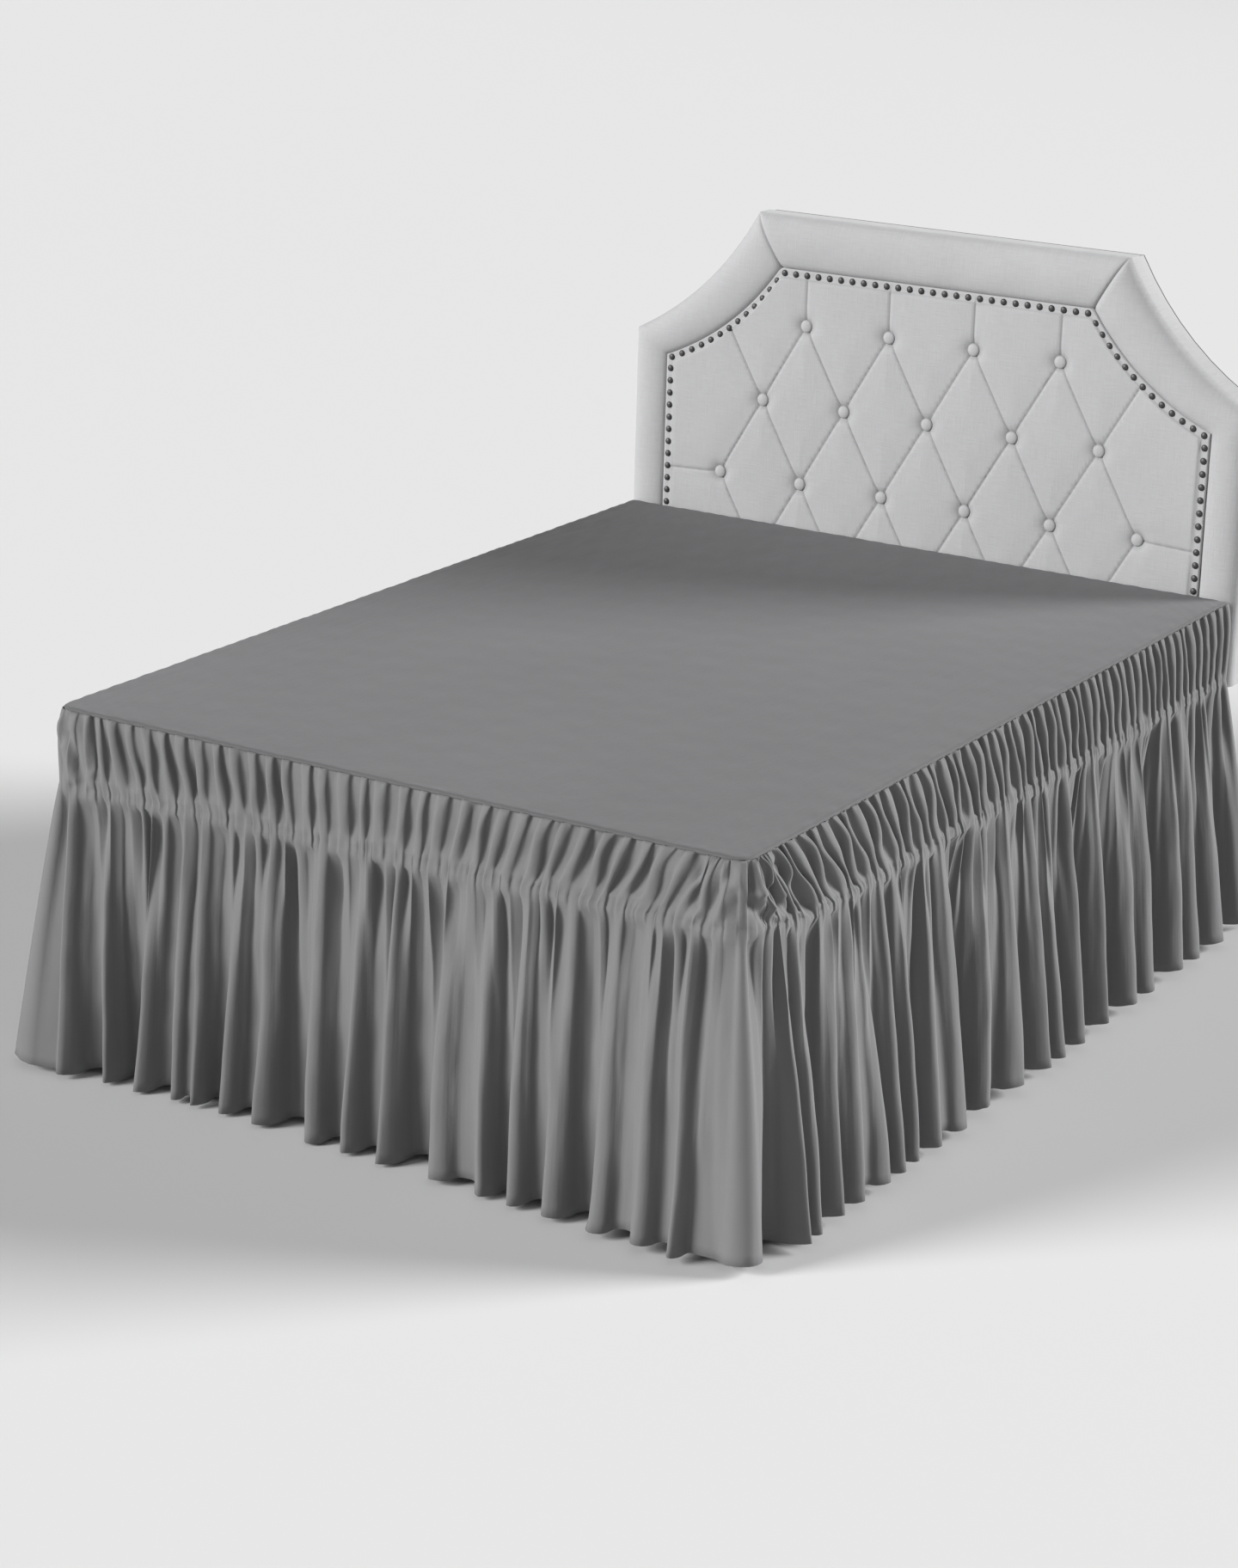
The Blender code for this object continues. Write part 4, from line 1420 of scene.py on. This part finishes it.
@dataclass(frozen=True)
class Studio:
    """The floor with its low wall, the lights and the camera at the photograph's angle."""

    yaw: float = math.radians(31.19)
    pitch: float = math.radians(18.08)
    roll: float = math.radians(1.64)
    place: Point = (3.261, -5.591, 2.508)
    lens: float = 83.59
    world: float = 0.10
    floor_radius: float = 30.0
    wall_height: float = 5.0
    lamps: tuple[Lamp, ...] = (
        Lamp(name="left_key", towards=(-0.62, -0.78, 0.42), strength=4.6, softness=math.radians(24.0)),
        Lamp(name="right_key", towards=(0.72, 0.64, 0.40), strength=5.6, softness=math.radians(24.0)),
        Lamp(name="front_fill", towards=(0.5, -0.85, 0.9), strength=0.25, softness=math.radians(60.0)),
    )

    def camera_matrix(self) -> Matrix:
        """Returns the camera's place and turn."""
        forward = Vector((-math.sin(self.yaw) * math.cos(self.pitch),
                          math.cos(self.yaw) * math.cos(self.pitch), -math.sin(self.pitch)))
        right = Vector((math.cos(self.yaw), math.sin(self.yaw), 0.0))
        up = right.cross(forward)
        across = right * math.cos(self.roll) + up * math.sin(self.roll)
        upward = up * math.cos(self.roll) - right * math.sin(self.roll)
        turn = Matrix((across, upward, -forward)).transposed().to_4x4()
        return Matrix.Translation(self.place) @ turn

    def add_camera(self) -> None:
        """Adds the scene's camera."""
        lens = bpy.data.cameras.new("camera")
        lens.lens = self.lens
        lens.sensor_width = 36.0
        lens.clip_end = 200.0
        camera = bpy.data.objects.new("camera", lens)
        camera.matrix_world = self.camera_matrix()
        bpy.context.scene.collection.objects.link(camera)
        bpy.context.scene.camera = camera

    def add_backdrop(self) -> None:
        """Adds the round floor and the low wall about it, which aren't part of the object."""
        floor, wall = bmesh.new(), bmesh.new()
        bmesh.ops.create_circle(floor, cap_ends=True, radius=self.floor_radius, segments=256)
        bmesh.ops.create_cone(wall, cap_ends=False, radius1=self.floor_radius, radius2=self.floor_radius,
                              depth=self.wall_height, segments=256)
        bmesh.ops.translate(wall, vec=(0.0, 0.0, self.wall_height / 2.0), verts=wall.verts)
        pale = PaleFloor().make()
        for name, shape in (("floor", floor), ("wall", wall)):
            mesh = mesh_of(shape, name)
            mesh.shade_smooth()
            mesh.materials.append(pale)
            piece = bpy.data.objects.new(name, mesh)
            bpy.context.scene.collection.objects.link(piece)

    def build(self) -> None:
        """Makes the studio."""
        world = bpy.data.worlds.new("studio")
        world.use_nodes = True
        background = world.node_tree.nodes["Background"]
        background.inputs["Color"].default_value = (1.0, 1.0, 1.0, 1.0)
        background.inputs["Strength"].default_value = self.world
        bpy.context.scene.world = world
        bpy.context.scene.view_settings.view_transform = "Standard"
        self.add_backdrop()
        for lamp in self.lamps:
            lamp.add()
        self.add_camera()


FOOT_FOLDS = (
    Fold(top=-0.628, hem=-0.632),
    Fold(top=-0.556, hem=-0.545),
    Fold(top=-0.463, hem=-0.484),
    Fold(top=-0.411, hem=-0.405),
    Fold(top=-0.362, hem=-0.360),
    Fold(top=-0.291, hem=-0.298),
    Fold(top=-0.206, hem=-0.226),
    Fold(top=-0.121, hem=-0.108),
    Fold(top=-0.046, hem=-0.030),
    Fold(top=0.046, hem=0.040),
    Fold(top=0.137, hem=0.150),
    Fold(top=0.229, hem=0.255),
    Fold(top=0.285, hem=0.310),
    Fold(top=0.374, hem=0.388),
    Fold(top=0.470, hem=0.485),
    Fold(top=0.540, hem=0.572),
    Fold(top=0.600, hem=0.634),
)

RIGHT_FOLDS = (
    Fold(top=-0.860, hem=-0.900),
    Fold(top=-0.800, hem=-0.852),
    Fold(top=-0.700, hem=-0.772),
    Fold(top=-0.628, hem=-0.705),
    Fold(top=-0.560, hem=-0.610),
    Fold(top=-0.495, hem=-0.560),
    Fold(top=-0.450, hem=-0.512),
    Fold(top=-0.360, hem=-0.430),
    Fold(top=-0.280, hem=-0.330),
    Fold(top=-0.147, hem=-0.240),
    Fold(top=-0.028, hem=-0.105),
    Fold(top=0.055, hem=0.000),
    Fold(top=0.126, hem=0.060),
    Fold(top=0.207, hem=0.145),
    Fold(top=0.317, hem=0.255),
    Fold(top=0.449, hem=0.375),
    Fold(top=0.529, hem=0.460),
    Fold(top=0.660, hem=0.590),
    Fold(top=0.722, hem=0.672),
    Fold(top=0.833, hem=0.790),
)

SIDE_CREASES = (
    Crease(high=(0.010, 0.02), low=(0.009, 0.56), rise=-0.006, width=0.006),
    Crease(high=(0.019, 0.05), low=(0.021, 0.45), rise=0.007, width=0.007),
    Crease(high=(0.030, 0.07), low=(0.040, 0.45), rise=-0.010, width=0.007),
    Crease(high=(0.045, 0.08), low=(0.100, 0.60), rise=0.007, width=0.010),
    Crease(high=(0.084, 0.20), low=(0.195, 0.92), rise=-0.011, width=0.012),
    Crease(high=(0.017, 0.46), low=(0.050, 0.74), rise=0.009, width=0.010),
    Crease(high=(0.050, 0.74), low=(0.086, 0.97), rise=0.008, width=0.010),
    Crease(high=(0.012, 0.64), low=(0.045, 0.97), rise=-0.009, width=0.008),
    Crease(high=(0.068, 0.50), low=(0.122, 0.90), rise=-0.012, width=0.009),
    Crease(high=(0.108, 0.05), low=(0.222, 0.90), rise=0.005, width=0.011),
    Crease(high=(0.100, 0.82), low=(0.116, 0.97), rise=0.007, width=0.008),
    Crease(high=(0.146, 0.80), low=(0.164, 0.97), rise=0.006, width=0.008),
)

FOOT_CREASES = (
    Crease(high=(0.005, 0.18), low=(0.036, 0.89), rise=0.007, width=0.010),
    Crease(high=(0.020, 0.05), low=(0.013, 0.42), rise=-0.006, width=0.007),
    Crease(high=(0.040, 0.05), low=(0.076, 0.90), rise=0.005, width=0.011),
    Crease(high=(0.073, 0.05), low=(0.074, 0.70), rise=-0.009, width=0.009),
    Crease(high=(0.028, 0.30), low=(0.055, 0.90), rise=-0.006, width=0.008),
)

LEFT_SALT = 3.0
LEFT_SHIFT = 0.014
SEAM_VALLEY = 1.5
SEAM_SLIT = 0.012


def left_folds() -> tuple[Fold, ...]:
    """Returns the left side's folds: the right side's from head to foot, each moved a little."""
    folds = []
    for number, fold in enumerate(reversed(RIGHT_FOLDS)):
        moved = LEFT_SHIFT * float(uneven(number, LEFT_SALT))
        folds.append(Fold(top=-fold.top + moved, hem=-fold.hem + 0.5 * moved))
    return tuple(folds)


def long_side(**own: object) -> Side:
    """Returns a long side of the bed: what both of them share, with the values of its own."""
    return Side(gathers=61, crest=0.84, heading_crest=1.12, paired=0.55, gather_depth=0.022,
                band=(0.010, 0.009), dip=0.0035, creases=SIDE_CREASES, **own)


def sides(half_width: float, half_length: float) -> tuple[Side, Side, Side]:
    """Returns the left, foot and right sides.

    Args:
        half_width: Half of the deck's width.
        half_length: Half of the deck's length.

    Returns:
        The three sides.
    """
    left = long_side(
        name="skirt_left", along=(0.0, -1.0, 0.0), outward=(-1.0, 0.0, 0.0), reach=half_width,
        half=half_length, corner_start=False, corner_end=True, salt=LEFT_SALT, folds=left_folds(), skew=0.10,
        shirred=((-0.95, 0.500), (0.0, 0.507), (0.80, 0.510), (0.94, 0.520)),
        flare=((-0.95, 0.106), (-0.50, 0.114), (0.1, 0.110), (0.80, 0.104), (0.94, 0.100)),
        lean=((-0.95, 0.0), (-0.80, -0.034), (0.0, -0.046), (0.60, -0.052), (0.90, 0.0)),
    )
    foot = Side(
        name="skirt_foot", along=(1.0, 0.0, 0.0), outward=(0.0, -1.0, 0.0), reach=half_length,
        half=half_width, corner_start=True, corner_end=True, gathers=38, salt=1.0, folds=FOOT_FOLDS,
        shirred=((-0.67, 0.520), (-0.45, 0.529), (0.0, 0.533), (0.45, 0.537), (0.67, 0.543)),
        flare=((-0.67, 0.100), (-0.58, 0.062), (-0.3, 0.052), (0.1, 0.072), (0.45, 0.094), (0.67, 0.120)),
        lean=((-0.64, 0.0), (-0.54, 0.034), (-0.25, 0.018), (0.0, 0.0), (0.25, -0.030), (0.57, -0.050),
              (0.66, 0.0)),
        crest=0.74, heading_crest=0.80, paired=0.2, skew=0.11, gather_depth=0.0140,
        band=(0.017, 0.013), dip=0.0022, creases=FOOT_CREASES,
        curls=((0.462, 0.010),), shallow=((0.34, 1.0), (0.50, 0.76), (0.67, 0.74)),
    )
    right = long_side(
        name="skirt_right", along=(0.0, 1.0, 0.0), outward=(1.0, 0.0, 0.0), reach=half_width,
        half=half_length, corner_start=True, corner_end=False, salt=2.0, folds=RIGHT_FOLDS, skew=-0.10,
        shirred=((-0.94, 0.543), (-0.87, 0.535), (-0.75, 0.509), (0.0, 0.506), (0.95, 0.500)),
        flare=((-0.94, 0.120), (-0.80, 0.108), (0.0, 0.112), (0.6, 0.116), (0.95, 0.108)),
        lean=((-0.945, 0.0), (-0.90, 0.026), (-0.80, 0.092), (-0.70, 0.120), (-0.40, 0.070), (0.20, 0.048),
              (0.80, 0.036), (0.95, 0.0)),
    )
    return left, foot, right


def skirt_panels(half_width: float, half_length: float, deck_top: float) -> tuple[SkirtPanel, ...]:
    """Returns the three panels. The foot panel runs on round both corners, so each seam lies in a valley.

    Args:
        half_width: Half of the deck's width.
        half_length: Half of the deck's length.
        deck_top: The height of the deck.

    Returns:
        The left, foot and right panels.
    """
    left, foot, right = (SideDrape(side, deck_top) for side in sides(half_width, half_length))
    left_end, right_end = float(left.side.gathers), float(right.side.gathers)
    left_seam = left_end - SEAM_VALLEY
    return (
        SkirtPanel("skirt_left", (Run(left, 0.0, left_seam - SEAM_SLIT),)),
        SkirtPanel("skirt_foot", (Run(left, left_seam, left_end), Run(foot, 0.0, float(foot.side.gathers)),
                                  Run(right, 0.0, SEAM_VALLEY))),
        SkirtPanel("skirt_right", (Run(right, SEAM_VALLEY + SEAM_SLIT, right_end),)),
    )


def main() -> None:
    """Dresses the bed skirt and its bed, and sets up the studio."""
    logging.basicConfig(level=logging.INFO, format="%(name)s: %(message)s")
    Studio().build()
    LOG.info("studio ready")
    low, high = (Vector(corner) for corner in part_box("deck_panel"))
    cloth = BrushedCloth().make()
    # Painted shade: the deck takes a darker copy of the skirt's cloth, which darkens the top of the bed.
    deck_cloth_shaded = BrushedCloth(name="deck_painted_shade_cloth", colour=(0.102, 0.102, 0.104)).make()
    DeckPanel(half_width=high.x, half_length=high.y, top=high.z).build(deck_cloth_shaded)
    LOG.info("deck panel made")
    for panel in skirt_panels(high.x, high.y, high.z):
        panel.build(cloth)
        LOG.info("%s made", panel.name)
    border_low, border_high = (Vector(corner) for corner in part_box("headboard_border"))
    Headboard(front=border_low.y, bottom=border_low.z).build(Linen().make(), NailMetal().make())
    LOG.info("headboard made")
    BedBase().dress()
    LOG.info("base dressed")


if __name__ == "__main__":
    main()
